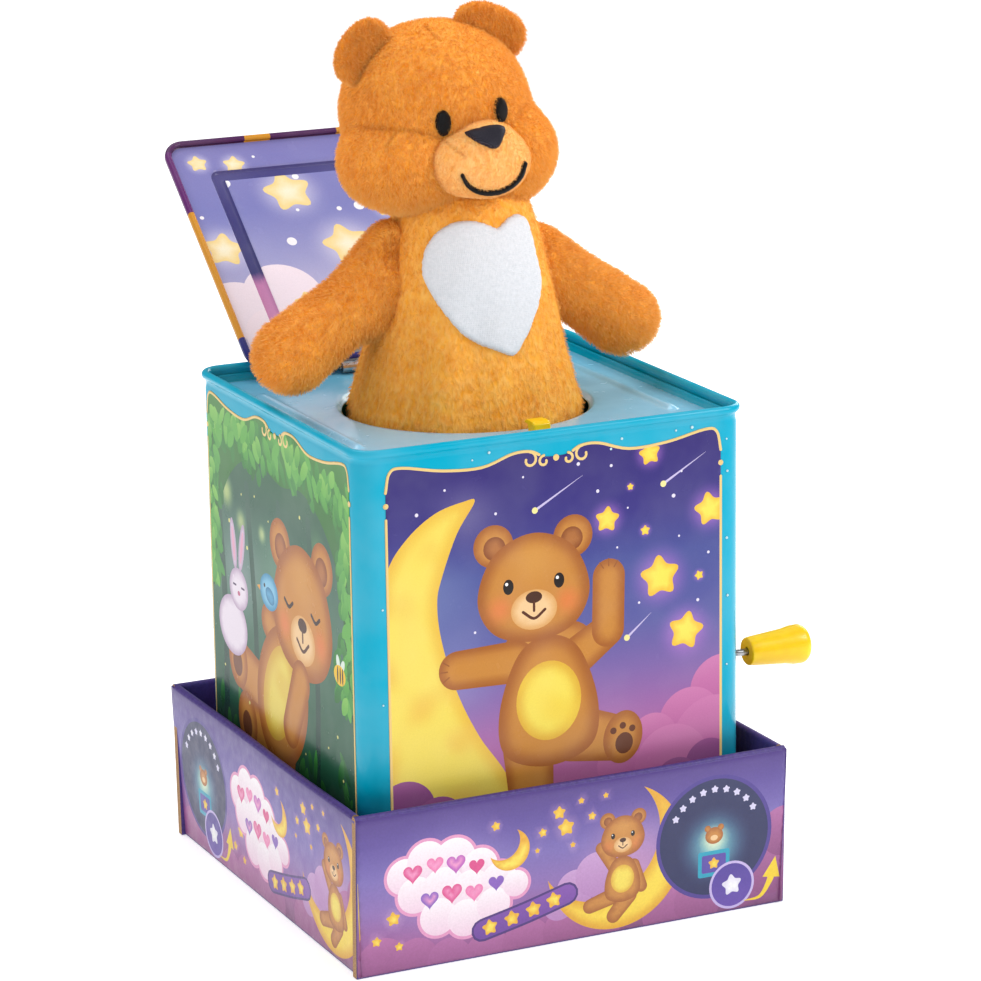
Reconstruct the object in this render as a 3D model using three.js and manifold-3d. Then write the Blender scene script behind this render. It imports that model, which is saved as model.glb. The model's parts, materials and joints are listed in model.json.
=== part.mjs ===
// Jack in the box: a square pressed-tin box with a hinged lid, a plush bear on a spring, a hand crank
// with a pin-drum music movement, a light in the bear's chest, and the cardboard tray it is shown in.
// Millimetres, +Z up. The origin is the middle of the tray's underside, -Y is the front, +X the crank side.
// The bear is up and the lid is open.

import * as THREE from 'three';
import { mergeVertices } from 'three/addons/utils/BufferGeometryUtils.js';
import Module from 'manifold-3d';

const wasm = await Module();
wasm.setup();

// ---------- Driving dimensions ----------

const GAP = 0.3; // clearance between neighbouring pieces
const DEGREE = Math.PI / 180;

// Display tray, folded from card
const TRAY_HALF_X = 77.5;
const TRAY_HALF_Y = 80.5;
const TRAY_HEIGHT = 56;
const TRAY_WALL = 3;
const TRAY_FLOOR = 1.6;
const TRAY_FLARE = 1.8; // how far the walls lean out at the top
const RISER_TOP = 32.7; // the folded platform that lifts the tin inside the tray

// Tin box
const TIN_HALF = 70; // half of the 5.5 inch side
const TIN_HEIGHT = 140;
const TIN_BOTTOM = RISER_TOP + GAP;
const TIN_TOP = TIN_BOTTOM + TIN_HEIGHT;
const TIN_CORNER = 8;
const TIN_WALL = 1;
const RIM_RADIUS = 1.4; // rolled edge along the top
const PLATE_TOP = TIN_TOP - 6; // the recessed top plate
const HOLE_RADIUS = 42;

// Lid, given as it lies when it is shut
const LID_HALF = 53.5;
const LID_OPEN_ANGLE = 141 * DEGREE;
const LID_AXIS = { y: 60, z: PLATE_TOP + 2.4 };
const LID_BACK = LID_AXIS.y - 2.5;
const LID_MIDDLE_Y = LID_BACK - LID_HALF;
const LID_TOP = PLATE_TOP + 3;
const LID_SHEET = 0.7;
const LID_SKIRT_BOTTOM = PLATE_TOP + 0.35;
const LEAF_HALF = 20; // half the length of the hinge

// Crank and music movement
const CRANK_AXIS_Z = TIN_BOTTOM + 65;
const CRANK_ARM = 51;
const CRANK_DROOP = 21.3 * DEGREE; // the arm points forward and this far down
const CRANK_WIRE = 1.2; // wire radius
const ARM_PLANE_X = 76.6;
const KNOB_START_X = 82;
const KNOB_LENGTH = 26;
const KNOB_Y = -CRANK_ARM * Math.cos(CRANK_DROOP);
const KNOB_Z = CRANK_AXIS_Z - CRANK_ARM * Math.sin(CRANK_DROOP);
const GEAR_MODULE = 1;
const CRANK_TEETH = 12;
const DRUM_TEETH = 36;
const GEAR_DISTANCE = (GEAR_MODULE * (CRANK_TEETH + DRUM_TEETH)) / 2;
const DRUM_AXIS = { y: 0, z: CRANK_AXIS_Z + GEAR_DISTANCE };
const DRUM_RADIUS = 7.8;
const AXLE_RADIUS = 1.2;
const BORE_RADIUS = AXLE_RADIUS + GAP;
const MOVEMENT_SHEET = 1.2;
const MOVEMENT_OUTER_X = TIN_HALF - TIN_WALL - GAP - MOVEMENT_SHEET - 0.3;
const MOVEMENT_INNER_X = MOVEMENT_OUTER_X - 20.2;
const GEAR_WIDTH = 3.6;
const GEAR_X = MOVEMENT_OUTER_X - GEAR_WIDTH - 1;
const DRUM_END_X = GEAR_X - 0.6;
const DRUM_START_X = DRUM_END_X - 11;
const CAM_X = DRUM_START_X - 1.2;
const PILLARS = [[-14, 88], [26, 88], [26, 141], [-15, 106]]; // [y, z]
const COMB_TEETH = 13;
const COMB_PITCH = 0.76;

// Bear, spring and light
const HEAD = { y: 4, z: 264, rx: 38.6, ry: 33.5, rz: 32.6 };
const FACE_X = -4; // the face and the heart look a little towards -X
const SPRING_BOTTOM = TIN_BOTTOM + 5.4;
const SPRING_TOP = 223;
const SPRING_RADIUS = 17.5;
const SPRING_WIRE = 0.7;
const SPRING_COILS = 8;
const SHOULDER = { x: 27, z: 213 };
const PAW = { x: 62.5, z: 190.5, radius: 14 };
const MUZZLE = { y: -26, z: 256, rx: 19, ry: 9, rz: 13.5 };
const EARS = {
  left: { x: -30, z: 288.4, lean: 50 },
  right: { x: 13.5, z: 292.4, lean: -26 },
}; // the head leans a little towards -X, so the ears stand unevenly
const NOSE = { y: -34.2, z: 264.5, rx: 7.2, ry: 3.4, rz: 4.2 };
const HEART = { tip: 188, top: 230, halfWidth: 21 };
const SLEEVE_OUTLINE = [ // [radius, z]
  [39, TIN_BOTTOM + 6], [40.4, PLATE_TOP - 8], [40.6, PLATE_TOP], [36, PLATE_TOP + 16],
  [31.4, PLATE_TOP + 36], [28, PLATE_TOP + 50], [25.4, PLATE_TOP + 61], [20.5, PLATE_TOP + 66],
];

// Latch, switch and battery cells
const LATCH_PIN = { y: -55, z: PLATE_TOP - 7 };
const SWITCH = { x: 20, y: 48 };
const CELL_X = -58;
const CELL_Z = TIN_BOTTOM + 11;

// ---------- Finishes ----------

function finish(color, roughness, metalness) {
  return new THREE.MeshStandardMaterial({ color, roughness, metalness });
}

const CYAN_TIN = finish(0x0eaed2, 0.3, 0.3);
const SKY_TIN = finish(0x9fd2ec, 0.3, 0.3);
const NIGHT_TIN = finish(0x8a88c8, 0.35, 0.3);
const STEEL = finish(0xb4b6b8, 0.35, 0.9);
const BRASS = finish(0xc9a24a, 0.35, 0.9);
const YELLOW_PLASTIC = finish(0xf6dc1c, 0.3, 0);
const WHITE_PLASTIC = finish(0xe9e9e4, 0.5, 0);
const GREY_PLASTIC = finish(0x8d9296, 0.5, 0);
const BLACK_PLASTIC = finish(0x25262a, 0.5, 0);
const BOARD_GREEN = finish(0x2c6b46, 0.5, 0);
const BEAR_FUR = finish(0xe08c2d, 0.9, 0);
const NOSE_FELT = finish(0x33313a, 0.9, 0);
const WHITE_FABRIC = finish(0xf2f0ee, 0.9, 0);
const PURPLE_CARD = finish(0x6a45a0, 0.5, 0);
const BROWN_CARD = finish(0xb08a5c, 0.9, 0);
const CLEAR_PLASTIC = finish(0xfbf3d8, 0.2, 0);
const RED_LIGHT = finish(0xe04434, 0.2, 0);
const GREEN_LIGHT = finish(0x3cc45a, 0.2, 0);
const BLUE_LIGHT = finish(0x3d6ff0, 0.2, 0);
const CELL_WRAP = finish(0x4a4e55, 0.4, 0.2);

// ---------- Solids ----------

const object = new THREE.Group();

function addPiece(name, geometry, material, parent = object) {
  const mesh = new THREE.Mesh(geometry, material);
  mesh.name = name;
  parent.add(mesh);
  return mesh;
}

// The closed mesh as a solid that can be joined and cut.
function solidOf(geometry) {
  const bare = geometry.clone();
  bare.deleteAttribute('normal');
  bare.deleteAttribute('uv');
  const merged = mergeVertices(bare);
  const index = merged.index.array;
  const kept = [];
  for (let i = 0; i < index.length; i += 3) {
    const [a, b, c] = [index[i], index[i + 1], index[i + 2]];
    if (a !== b && b !== c && c !== a) kept.push(a, b, c);
  }
  const vertProperties = new Float32Array(merged.attributes.position.array);
  return new wasm.Manifold(
    new wasm.Mesh({ numProp: 3, vertProperties, triVerts: new Uint32Array(kept) }),
  );
}

function geometryOf(solid) {
  const mesh = solid.getMesh();
  const geometry = new THREE.BufferGeometry();
  geometry.setAttribute('position', new THREE.BufferAttribute(mesh.vertProperties, 3));
  geometry.setIndex(new THREE.BufferAttribute(mesh.triVerts, 1));
  geometry.computeVertexNormals();
  return geometry;
}

function join(...geometries) {
  return geometryOf(geometries.map(solidOf).reduce((whole, solid) => whole.add(solid)));
}

function cut(geometry, ...tools) {
  return geometryOf(tools.map(solidOf).reduce((whole, tool) => whole.subtract(tool), solidOf(geometry)));
}

function overlapOf(a, b) {
  return geometryOf(solidOf(a).intersect(solidOf(b)));
}

// A box given by its lowest and highest corners.
function box(x0, x1, y0, y1, z0, z1) {
  const geometry = new THREE.BoxGeometry(x1 - x0, y1 - y0, z1 - z0);
  return geometry.translate((x0 + x1) / 2, (y0 + y1) / 2, (z0 + z1) / 2);
}

// A cylinder between two heights along an axis, 'x', 'y' or 'z'; the other two coordinates are a and b.
function rod(axis, radius, start, end, a, b, sides = 12) {
  const geometry = new THREE.CylinderGeometry(radius, radius, end - start, sides);
  const middle = (start + end) / 2;
  if (axis === 'x') return geometry.rotateZ(-Math.PI / 2).translate(middle, a, b);
  if (axis === 'y') return geometry.translate(a, middle, b);
  return geometry.rotateX(Math.PI / 2).translate(a, b, middle);
}

// A lathe about +Z through (x, y), from [radius, z] points.
function turned(points, x = 0, y = 0, sides = 18) {
  const profile = points.map(([radius, z]) => new THREE.Vector2(radius, z));
  return new THREE.LatheGeometry(profile, sides).rotateX(Math.PI / 2).translate(x, y, 0);
}

// A lathe about the +X line through (y, z), from [radius, x] points.
function turnedAlongX(points, y, z, sides = 16) {
  const profile = points.map(([radius, x]) => new THREE.Vector2(radius, x));
  return new THREE.LatheGeometry(profile, sides).rotateZ(-Math.PI / 2).translate(0, y, z);
}

function ellipsoid(x, y, z, rx, ry, rz, across = 18, down = 10) {
  const sphere = new THREE.SphereGeometry(1, across, down).rotateX(Math.PI / 2);
  return sphere.scale(rx, ry, rz).translate(x, y, z);
}

// A closed profile of [inset, z] points swept round a rectangle with rounded corners. The inset is
// measured inwards from the rectangle, so a negative inset stands outside it.
function band(profile, halfX, halfY, corner, y = 0, cornerSteps = 3) {
  const loops = [];
  for (let quarter = 0; quarter < 4; quarter += 1) {
    for (let step = 0; step <= cornerSteps; step += 1) {
      const angle = (quarter + step / cornerSteps) * (Math.PI / 2);
      const side = (quarter + 0.5) * (Math.PI / 2);
      loops.push({ angle, signX: Math.sign(Math.cos(side)), signY: Math.sign(Math.sin(side)) });
    }
  }
  const positions = [];
  for (const { angle, signX, signY } of loops) {
    for (const [inset, z] of profile) {
      const radius = Math.max(corner - inset, 0.3);
      positions.push(
        signX * (halfX - inset - radius) + radius * Math.cos(angle),
        signY * (halfY - inset - radius) + radius * Math.sin(angle) + y,
        z,
      );
    }
  }
  const area = THREE.ShapeUtils.area(profile.map(([inset, z]) => new THREE.Vector2(inset, z)));
  const index = [];
  for (let i = 0; i < loops.length; i += 1) {
    for (let j = 0; j < profile.length; j += 1) {
      const next = (i + 1) % loops.length;
      const up = (j + 1) % profile.length;
      const [a, b] = [i * profile.length + j, next * profile.length + j];
      const [c, d] = [next * profile.length + up, i * profile.length + up];
      if (area > 0) index.push(a, d, b, b, d, c);
      else index.push(a, b, d, b, c, d);
    }
  }
  const geometry = new THREE.BufferGeometry();
  geometry.setAttribute('position', new THREE.Float32BufferAttribute(positions, 3));
  geometry.setIndex(index);
  geometry.computeVertexNormals();
  return geometry;
}

function roundedRectangle(halfX, halfY, corner, y = 0) {
  const shape = new THREE.Shape();
  shape.absarc(halfX - corner, y + halfY - corner, corner, 0, Math.PI / 2);
  shape.absarc(corner - halfX, y + halfY - corner, corner, Math.PI / 2, Math.PI);
  shape.absarc(corner - halfX, y - halfY + corner, corner, Math.PI, 1.5 * Math.PI);
  shape.absarc(halfX - corner, y - halfY + corner, corner, 1.5 * Math.PI, 2 * Math.PI);
  return shape;
}

function polygon(points) {
  return new THREE.Shape(points.map(([a, b]) => new THREE.Vector2(a, b)));
}

// A many-sided hole whose flats touch the given circle.
function circularHole(x, y, radius, sides = 12) {
  const reach = radius / Math.cos(Math.PI / sides);
  const points = [];
  for (let i = sides; i > 0; i -= 1) {
    const angle = (2 * Math.PI * i) / sides;
    points.push(new THREE.Vector2(x + reach * Math.cos(angle), y + reach * Math.sin(angle)));
  }
  return new THREE.Path(points);
}

function rectangularHole(x0, x1, y0, y1) {
  return new THREE.Path([
    new THREE.Vector2(x0, y0),
    new THREE.Vector2(x0, y1),
    new THREE.Vector2(x1, y1),
    new THREE.Vector2(x1, y0),
  ]);
}

// A flat shape drawn in the XY plane, thickened from z0 to z1.
function slab(shape, z0, z1, curveSegments = 2) {
  const settings = { depth: z1 - z0, bevelEnabled: false, curveSegments };
  return new THREE.ExtrudeGeometry(shape, settings).translate(0, 0, z0);
}

// A shape drawn as [y, z], thickened from x0 to x1.
function slabAcrossX(shape, x0, x1) {
  const settings = { depth: x1 - x0, bevelEnabled: false };
  const geometry = new THREE.ExtrudeGeometry(shape, settings);
  return geometry.rotateY(Math.PI / 2).rotateX(Math.PI / 2).translate(x0, 0, 0);
}

// A round wire through the points, with bends of the given radius.
function wire(points, radius, bend, steps, sides = 6) {
  const corners = points.map(([x, y, z]) => new THREE.Vector3(x, y, z));
  const path = new THREE.CurvePath();
  let from = corners[0];
  for (let i = 1; i < corners.length - 1; i += 1) {
    const back = corners[i - 1].clone().sub(corners[i]).setLength(bend);
    const on = corners[i + 1].clone().sub(corners[i]).setLength(bend);
    const enter = corners[i].clone().add(back);
    const leave = corners[i].clone().add(on);
    path.add(new THREE.LineCurve3(from, enter));
    path.add(new THREE.QuadraticBezierCurve3(enter, corners[i], leave));
    from = leave;
  }
  path.add(new THREE.LineCurve3(from, corners[corners.length - 1]));
  return sweep(path, radius, steps, sides);
}

function sweep(path, radius, steps, sides) {
  const circle = [];
  for (let i = 0; i < sides; i += 1) {
    const angle = (2 * Math.PI * i) / sides;
    circle.push(new THREE.Vector2(radius * Math.cos(angle), radius * Math.sin(angle)));
  }
  const settings = { steps, bevelEnabled: false, extrudePath: path };
  return new THREE.ExtrudeGeometry(new THREE.Shape(circle), settings);
}

// A coil about +Z through (0, 0).
class Coil extends THREE.Curve {
  constructor(radius, z0, z1, turns) {
    super();
    Object.assign(this, { radius, z0, z1, turns });
  }

  getPoint(t, target = new THREE.Vector3()) {
    const angle = 2 * Math.PI * this.turns * t;
    const z = this.z0 + (this.z1 - this.z0) * t;
    return target.set(this.radius * Math.cos(angle), this.radius * Math.sin(angle), z);
  }
}

// ---------- Display tray ----------

function buildTray() {
  const halfX = TRAY_HALF_X;
  const halfY = TRAY_HALF_Y;
  const walls = band(
    [
      [0, 0],
      [-TRAY_FLARE, TRAY_HEIGHT - 1],
      [-TRAY_FLARE + 0.7, TRAY_HEIGHT],
      [TRAY_WALL - TRAY_FLARE - 0.7, TRAY_HEIGHT],
      [TRAY_WALL - TRAY_FLARE, TRAY_HEIGHT - 1],
      [TRAY_WALL, 0],
    ],
    halfX, halfY, 1.5, 0, 2,
  );
  const floor = box(-halfX + 1, halfX - 1, -halfY + 1, halfY - 1, 0, TRAY_FLOOR);
  // A dip in the right wall lets the crank's arm swing through.
  const dip = polygon([
    [-36, TRAY_HEIGHT + 5], [-24, TRAY_HEIGHT - 14], [24, TRAY_HEIGHT - 14], [36, TRAY_HEIGHT + 5],
  ]);
  const dipSolid = slabAcrossX(dip, halfX - 8, halfX + 8);
  addPiece('display_tray', cut(join(walls, floor), dipSolid), PURPLE_CARD);

  // One folded sheet: a top with a leg at each side.
  const half = TIN_HALF + 0.5;
  const sheet = 1.5;
  const foot = TRAY_FLOOR + GAP;
  const profile = polygon([
    [-half, foot], [-half + sheet, foot], [-half + sheet, RISER_TOP - sheet],
    [half - sheet, RISER_TOP - sheet], [half - sheet, foot], [half, foot],
    [half, RISER_TOP], [-half, RISER_TOP],
  ]);
  addPiece('tray_riser', slabAcrossX(profile, -half, half), BROWN_CARD);
}

// ---------- Tin box ----------

function buildTin() {
  const rimZ = TIN_TOP - RIM_RADIUS;
  const rimInset = 0.2;
  const profile = [[0, TIN_BOTTOM]];
  const rimSteps = 6;
  for (let i = 0; i <= rimSteps; i += 1) {
    const angle = (-82 + (317 * i) / rimSteps) * DEGREE;
    profile.push([rimInset - RIM_RADIUS * Math.cos(angle), rimZ + RIM_RADIUS * Math.sin(angle)]);
  }
  profile.push([TIN_WALL, TIN_BOTTOM]);
  const shell = band(profile, TIN_HALF, TIN_HALF, TIN_CORNER);
  const crankHole = rod('x', 3.4, TIN_HALF - 4, TIN_HALF + 4, 0, CRANK_AXIS_Z);
  addPiece('tin_body', cut(shell, crankHole), CYAN_TIN);

  const inner = TIN_HALF - TIN_WALL - GAP;
  const innerCorner = TIN_CORNER - TIN_WALL - GAP;
  const sheet = 0.9;
  const face = roundedRectangle(inner, inner, innerCorner);
  face.holes.push(circularHole(0, 0, HOLE_RADIUS, 40));
  face.holes.push(rectangularHole(-4.6, 4.6, LATCH_PIN.y - 3.4, LATCH_PIN.y + 3.6));
  face.holes.push(circularHole(SWITCH.x, SWITCH.y, 1.9));
  const flangeTop = TIN_TOP - 2 * RIM_RADIUS - 0.8;
  const flange = band(
    [[0, PLATE_TOP - sheet], [0, flangeTop], [sheet, flangeTop], [sheet, PLATE_TOP - sheet]],
    inner, inner, innerCorner,
  );
  const ribs = [-1, 1].map((side) => raisedRib(side * (LID_HALF + 4), 44));
  addPiece('top_plate', join(slab(face, PLATE_TOP - sheet, PLATE_TOP), flange, ...ribs), SKY_TIN);

  const base = roundedRectangle(inner, inner, innerCorner);
  base.holes.push(rectangularHole(CELL_X - 8, CELL_X + 8, -53, 53));
  const baseZ = TIN_BOTTOM + 1;
  const turnedUp = band(
    [[0, baseZ], [0, baseZ + 7], [sheet, baseZ + 7], [sheet, baseZ]],
    inner, inner, innerCorner,
  );
  addPiece('bottom_plate', join(slab(base, baseZ, baseZ + 1), turnedUp), STEEL);
}

// A bar with a rounded top and rounded ends, standing on the top plate along Y.
function raisedRib(x, halfLength) {
  const width = 2.6;
  const capsule = new THREE.CapsuleGeometry(width, 2 * (halfLength - width), 2, 8);
  capsule.scale(1, 1, 0.5).translate(x, 0, PLATE_TOP);
  const below = box(x - 5, x + 5, -halfLength - 5, halfLength + 5, PLATE_TOP - 5, PLATE_TOP - 0.45);
  return cut(capsule, below);
}

// ---------- Lid and hinge ----------

function buildLid() {
  const skirtTop = LID_TOP - 0.4;
  const face = roundedRectangle(LID_HALF - 0.4, LID_HALF - 0.4, 7.6, LID_MIDDLE_Y);
  const sheet = slab(face, LID_TOP - LID_SHEET, LID_TOP);
  const skirt = band(
    [
      [0.5, LID_SKIRT_BOTTOM], [0, LID_SKIRT_BOTTOM + 0.5], [0, skirtTop], [0.4, LID_TOP],
      [1.2, LID_TOP], [1.2, LID_TOP - LID_SHEET], [1.6, LID_SKIRT_BOTTOM + 0.5], [1.1, LID_SKIRT_BOTTOM],
    ],
    LID_HALF, LID_HALF, 8, LID_MIDDLE_Y,
  );
  // A pressed ring: raised on the outside and a channel on the inside.
  const [ringOuter, ringInner] = [14, 20];
  const ring = band(
    [
      [ringOuter, LID_TOP - LID_SHEET], [ringOuter + 0.8, LID_TOP + 0.9],
      [ringInner - 0.8, LID_TOP + 0.9], [ringInner, LID_TOP - LID_SHEET],
    ],
    LID_HALF, LID_HALF, 8, LID_MIDDLE_Y,
  );
  const channel = band(
    [
      [ringOuter + 0.9, LID_TOP - 2], [ringOuter + 1.6, LID_TOP + 0.2],
      [ringInner - 1.6, LID_TOP + 0.2], [ringInner - 0.9, LID_TOP - 2],
    ],
    LID_HALF, LID_HALF, 8, LID_MIDDLE_Y,
  );
  const notchHalf = LEAF_HALF + 1;
  const sheetUnder = LID_TOP - LID_SHEET;
  const hingeNotch = box(-notchHalf, notchHalf, LID_BACK - 3, LID_BACK + 1, PLATE_TOP - 1, sheetUnder);
  const lid = cut(join(sheet, skirt, ring), channel, hingeNotch);

  // The lid and its hinge leaf turn about the pin, so both are placed from it.
  const turning = new THREE.Group();
  turning.position.set(0, LID_AXIS.y, LID_AXIS.z);
  turning.rotation.x = -LID_OPEN_ANGLE;
  object.add(turning);
  const fromPin = (geometry) => geometry.translate(0, -LID_AXIS.y, -LID_AXIS.z);
  addPiece('lid', fromPin(lid), NIGHT_TIN, turning);

  const knuckle = 2.05;
  const split = 9.8;
  const leafTop = LID_TOP - LID_SHEET - GAP;
  const leafParts = [box(-LEAF_HALF, LEAF_HALF, LID_BACK - 9, LID_BACK - 0.1, leafTop - 0.7, leafTop)];
  for (const side of [-1, 1]) {
    const [x0, x1] = [side * (split + GAP), side * LEAF_HALF].sort((a, b) => a - b);
    leafParts.push(box(x0, x1, LID_BACK - 1, LID_AXIS.y, leafTop - 0.7, leafTop));
    leafParts.push(rod('x', knuckle, x0, x1, LID_AXIS.y, LID_AXIS.z, 14));
  }
  const pinBore = rod('x', 1.1, -LEAF_HALF - 1, LEAF_HALF + 1, LID_AXIS.y, LID_AXIS.z, 14);
  addPiece('lid_hinge_leaf', fromPin(cut(join(...leafParts), pinBore)), STEEL, turning);

  const foot = box(-split, split, LID_AXIS.y, LID_AXIS.y + 6.5, PLATE_TOP + GAP, PLATE_TOP + GAP + 0.8);
  const barrel = rod('x', knuckle, -split, split, LID_AXIS.y, LID_AXIS.z, 14);
  addPiece('hinge_bracket', cut(join(foot, barrel), pinBore), STEEL);
  addPiece('hinge_pin', rod('x', 0.8, -LEAF_HALF - 0.8, LEAF_HALF + 0.8, LID_AXIS.y, LID_AXIS.z), STEEL);
}

// ---------- Latch ----------

function buildLatch() {
  const { y, z } = LATCH_PIN;
  // Side view of the lever: a stem through the plate with a nose above it and a tail below.
  const side = polygon([
    [y - 2.2, z - 12], [y + 0.6, z - 12], [y + 1.6, z + 3], [y + 1.6, PLATE_TOP + 1.2],
    [y + 2.2, PLATE_TOP + 4], [y + 5, PLATE_TOP + 4], [y + 5, PLATE_TOP + 4.7], [y + 3.6, PLATE_TOP + 5.4],
    [y - 1.4, PLATE_TOP + 5.4], [y - 3, PLATE_TOP + 4.4], [y - 3, PLATE_TOP + 0.6],
    [y - 2.2, PLATE_TOP + 0.6],
  ]);
  const lever = join(slabAcrossX(side, -4, 4), rod('x', 2.8, -4, 4, y, z));
  const linkHole = rod('x', 0.9, -6, 6, y - 0.8, z - 9.5, 10);
  addPiece('latch_lever', cut(lever, rod('x', 1.3, -6, 6, y, z), linkHole), YELLOW_PLASTIC);
  addPiece('latch_pin', rod('x', 1, -7, 7, y, z), STEEL);

  const plateUnder = PLATE_TOP - 0.9 - GAP;
  const [cheekInner, cheekOuter] = [4.5, 5.7];
  const yoke = join(
    box(-cheekOuter, -cheekInner, y - 4, y + 4, z - 4, plateUnder),
    box(cheekInner, cheekOuter, y - 4, y + 4, z - 4, plateUnder),
    box(-cheekOuter, cheekOuter, y - 7.6, y - 3.8, plateUnder - 0.9, plateUnder),
  );
  addPiece('latch_bracket', cut(yoke, rod('x', 1.3, -8, 8, y, z)), STEEL);

  // The release link: a wire hooked through the lever's tail that ends as a finger above the cam.
  const tail = { y: y - 0.8, z: z - 9.5 };
  const link = wire(
    [[-5.2, tail.y, tail.z], [CAM_X, tail.y, tail.z], [CAM_X, DRUM_AXIS.y + 1, DRUM_AXIS.z + 17.5]],
    0.6, 3, 20, 5,
  );
  addPiece('release_link', link, STEEL);

  // A small return spring between the front wall and the lever's tail.
  const tiltRoom = 1.8;
  const springLength = y - 2.2 - GAP - (-TIN_HALF + TIN_WALL + GAP) - tiltRoom;
  const coil = sweep(new Coil(2.2, 0, springLength, 4), 0.3, 32, 4);
  coil.rotateX(-Math.PI / 2).translate(0, -TIN_HALF + TIN_WALL + GAP + 0.5, z - 5);
  addPiece('latch_spring', coil, STEEL);
}

// ---------- Light switch under the lid ----------

function buildSwitch() {
  const top = PLATE_TOP - 0.9 - GAP;
  const body = roundedRectangle(6.5, 3.6, 0.8);
  body.holes.push(circularHole(0, 0, 1.8));
  const housing = join(
    slab(body, top - 7, top),
    box(-6, 6, -3.2, 3.2, top - 8, top - 6.9),
    box(-5, -3.6, -0.5, 0.5, top - 11, top - 7.5),
    box(3.6, 5, -0.5, 0.5, top - 11, top - 7.5),
  );
  addPiece('switch_body', housing.translate(SWITCH.x, SWITCH.y, 0), BLACK_PLASTIC);
  const rest = PLATE_TOP + 2.9;
  const profile = [[0, top - 4], [1.4, top - 4], [1.4, rest - 0.5], [0.9, rest], [0, rest]];
  addPiece('switch_plunger', turned(profile, SWITCH.x, SWITCH.y, 12), WHITE_PLASTIC);
}

// ---------- Crank ----------

function buildCrank() {
  const handle = wire(
    [
      [MOVEMENT_INNER_X - 1, 0, CRANK_AXIS_Z],
      [ARM_PLANE_X, 0, CRANK_AXIS_Z],
      [ARM_PLANE_X, KNOB_Y, KNOB_Z],
      [KNOB_START_X + KNOB_LENGTH - 6, KNOB_Y, KNOB_Z],
    ],
    CRANK_WIRE, 4, 30,
  );
  addPiece('crank_handle', handle, STEEL);

  const start = KNOB_START_X;
  const end = KNOB_START_X + KNOB_LENGTH;
  const knob = [
    [0, end - 5], [1.6, end - 5], [1.6, start], [4.4, start], [5.1, start + 0.7],
    [6.1, start + 14], [6.9, end - 4.5], [6.6, end - 2.4], [4.6, end - 0.6], [0, end],
  ];
  addPiece('crank_knob', turnedAlongX(knob, KNOB_Y, KNOB_Z), YELLOW_PLASTIC);

  const outside = TIN_HALF + GAP;
  const barrelStart = MOVEMENT_OUTER_X + MOVEMENT_SHEET + GAP;
  const bushing = [
    [1.6, barrelStart], [3.1, barrelStart], [3.1, outside],
    [5.4, outside], [5.4, outside + 0.8], [4.6, outside + 1.5], [1.6, outside + 1.5],
  ];
  addPiece('crank_bushing', turnedAlongX([...bushing, bushing[0]], 0, CRANK_AXIS_Z), BRASS);
  const gear = gearShape(CRANK_TEETH, 0);
  gear.holes.push(circularHole(0, 0, BORE_RADIUS));
  addPiece('crank_gear', onAxis(gear, GEAR_X, GEAR_X + GEAR_WIDTH, 0, CRANK_AXIS_Z), BRASS);
}

// ---------- Music movement ----------

// An involute gear's outline about (0, 0), with one tooth or one gap turned by the given share of a pitch.
function gearShape(teeth, phase) {
  const pressure = 20 * DEGREE;
  const backlash = 0.28;
  const pitchRadius = (GEAR_MODULE * teeth) / 2;
  const baseRadius = pitchRadius * Math.cos(pressure);
  const tipRadius = pitchRadius + 0.8 * GEAR_MODULE;
  const rootRadius = pitchRadius - 1.15 * GEAR_MODULE;
  const involute = (angle) => Math.tan(angle) - angle;
  const halfAtPitch = Math.PI / (2 * teeth) - backlash / (2 * pitchRadius);
  const halfAngle = (radius) => {
    const above = Math.max(radius, baseRadius);
    return halfAtPitch + involute(pressure) - involute(Math.acos(baseRadius / above));
  };
  const radii = [rootRadius, pitchRadius, tipRadius];
  const points = [];
  for (let tooth = 0; tooth < teeth; tooth += 1) {
    const middle = (2 * Math.PI * (tooth + phase)) / teeth;
    const flank = radii.map((radius) => [radius, halfAngle(radius)]);
    const outline = [...flank.map(([r, a]) => [r, -a]), ...flank.reverse()];
    for (const [radius, offset] of outline) {
      points.push(new THREE.Vector2(radius * Math.cos(middle + offset), radius * Math.sin(middle + offset)));
    }
  }
  return new THREE.Shape(points);
}

// A shape drawn about (0, 0) in the YZ plane, thickened along X on the axis through (y, z).
function onAxis(shape, x0, x1, y, z) {
  return slabAcrossX(shape, x0, x1).translate(0, y, z);
}

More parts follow.
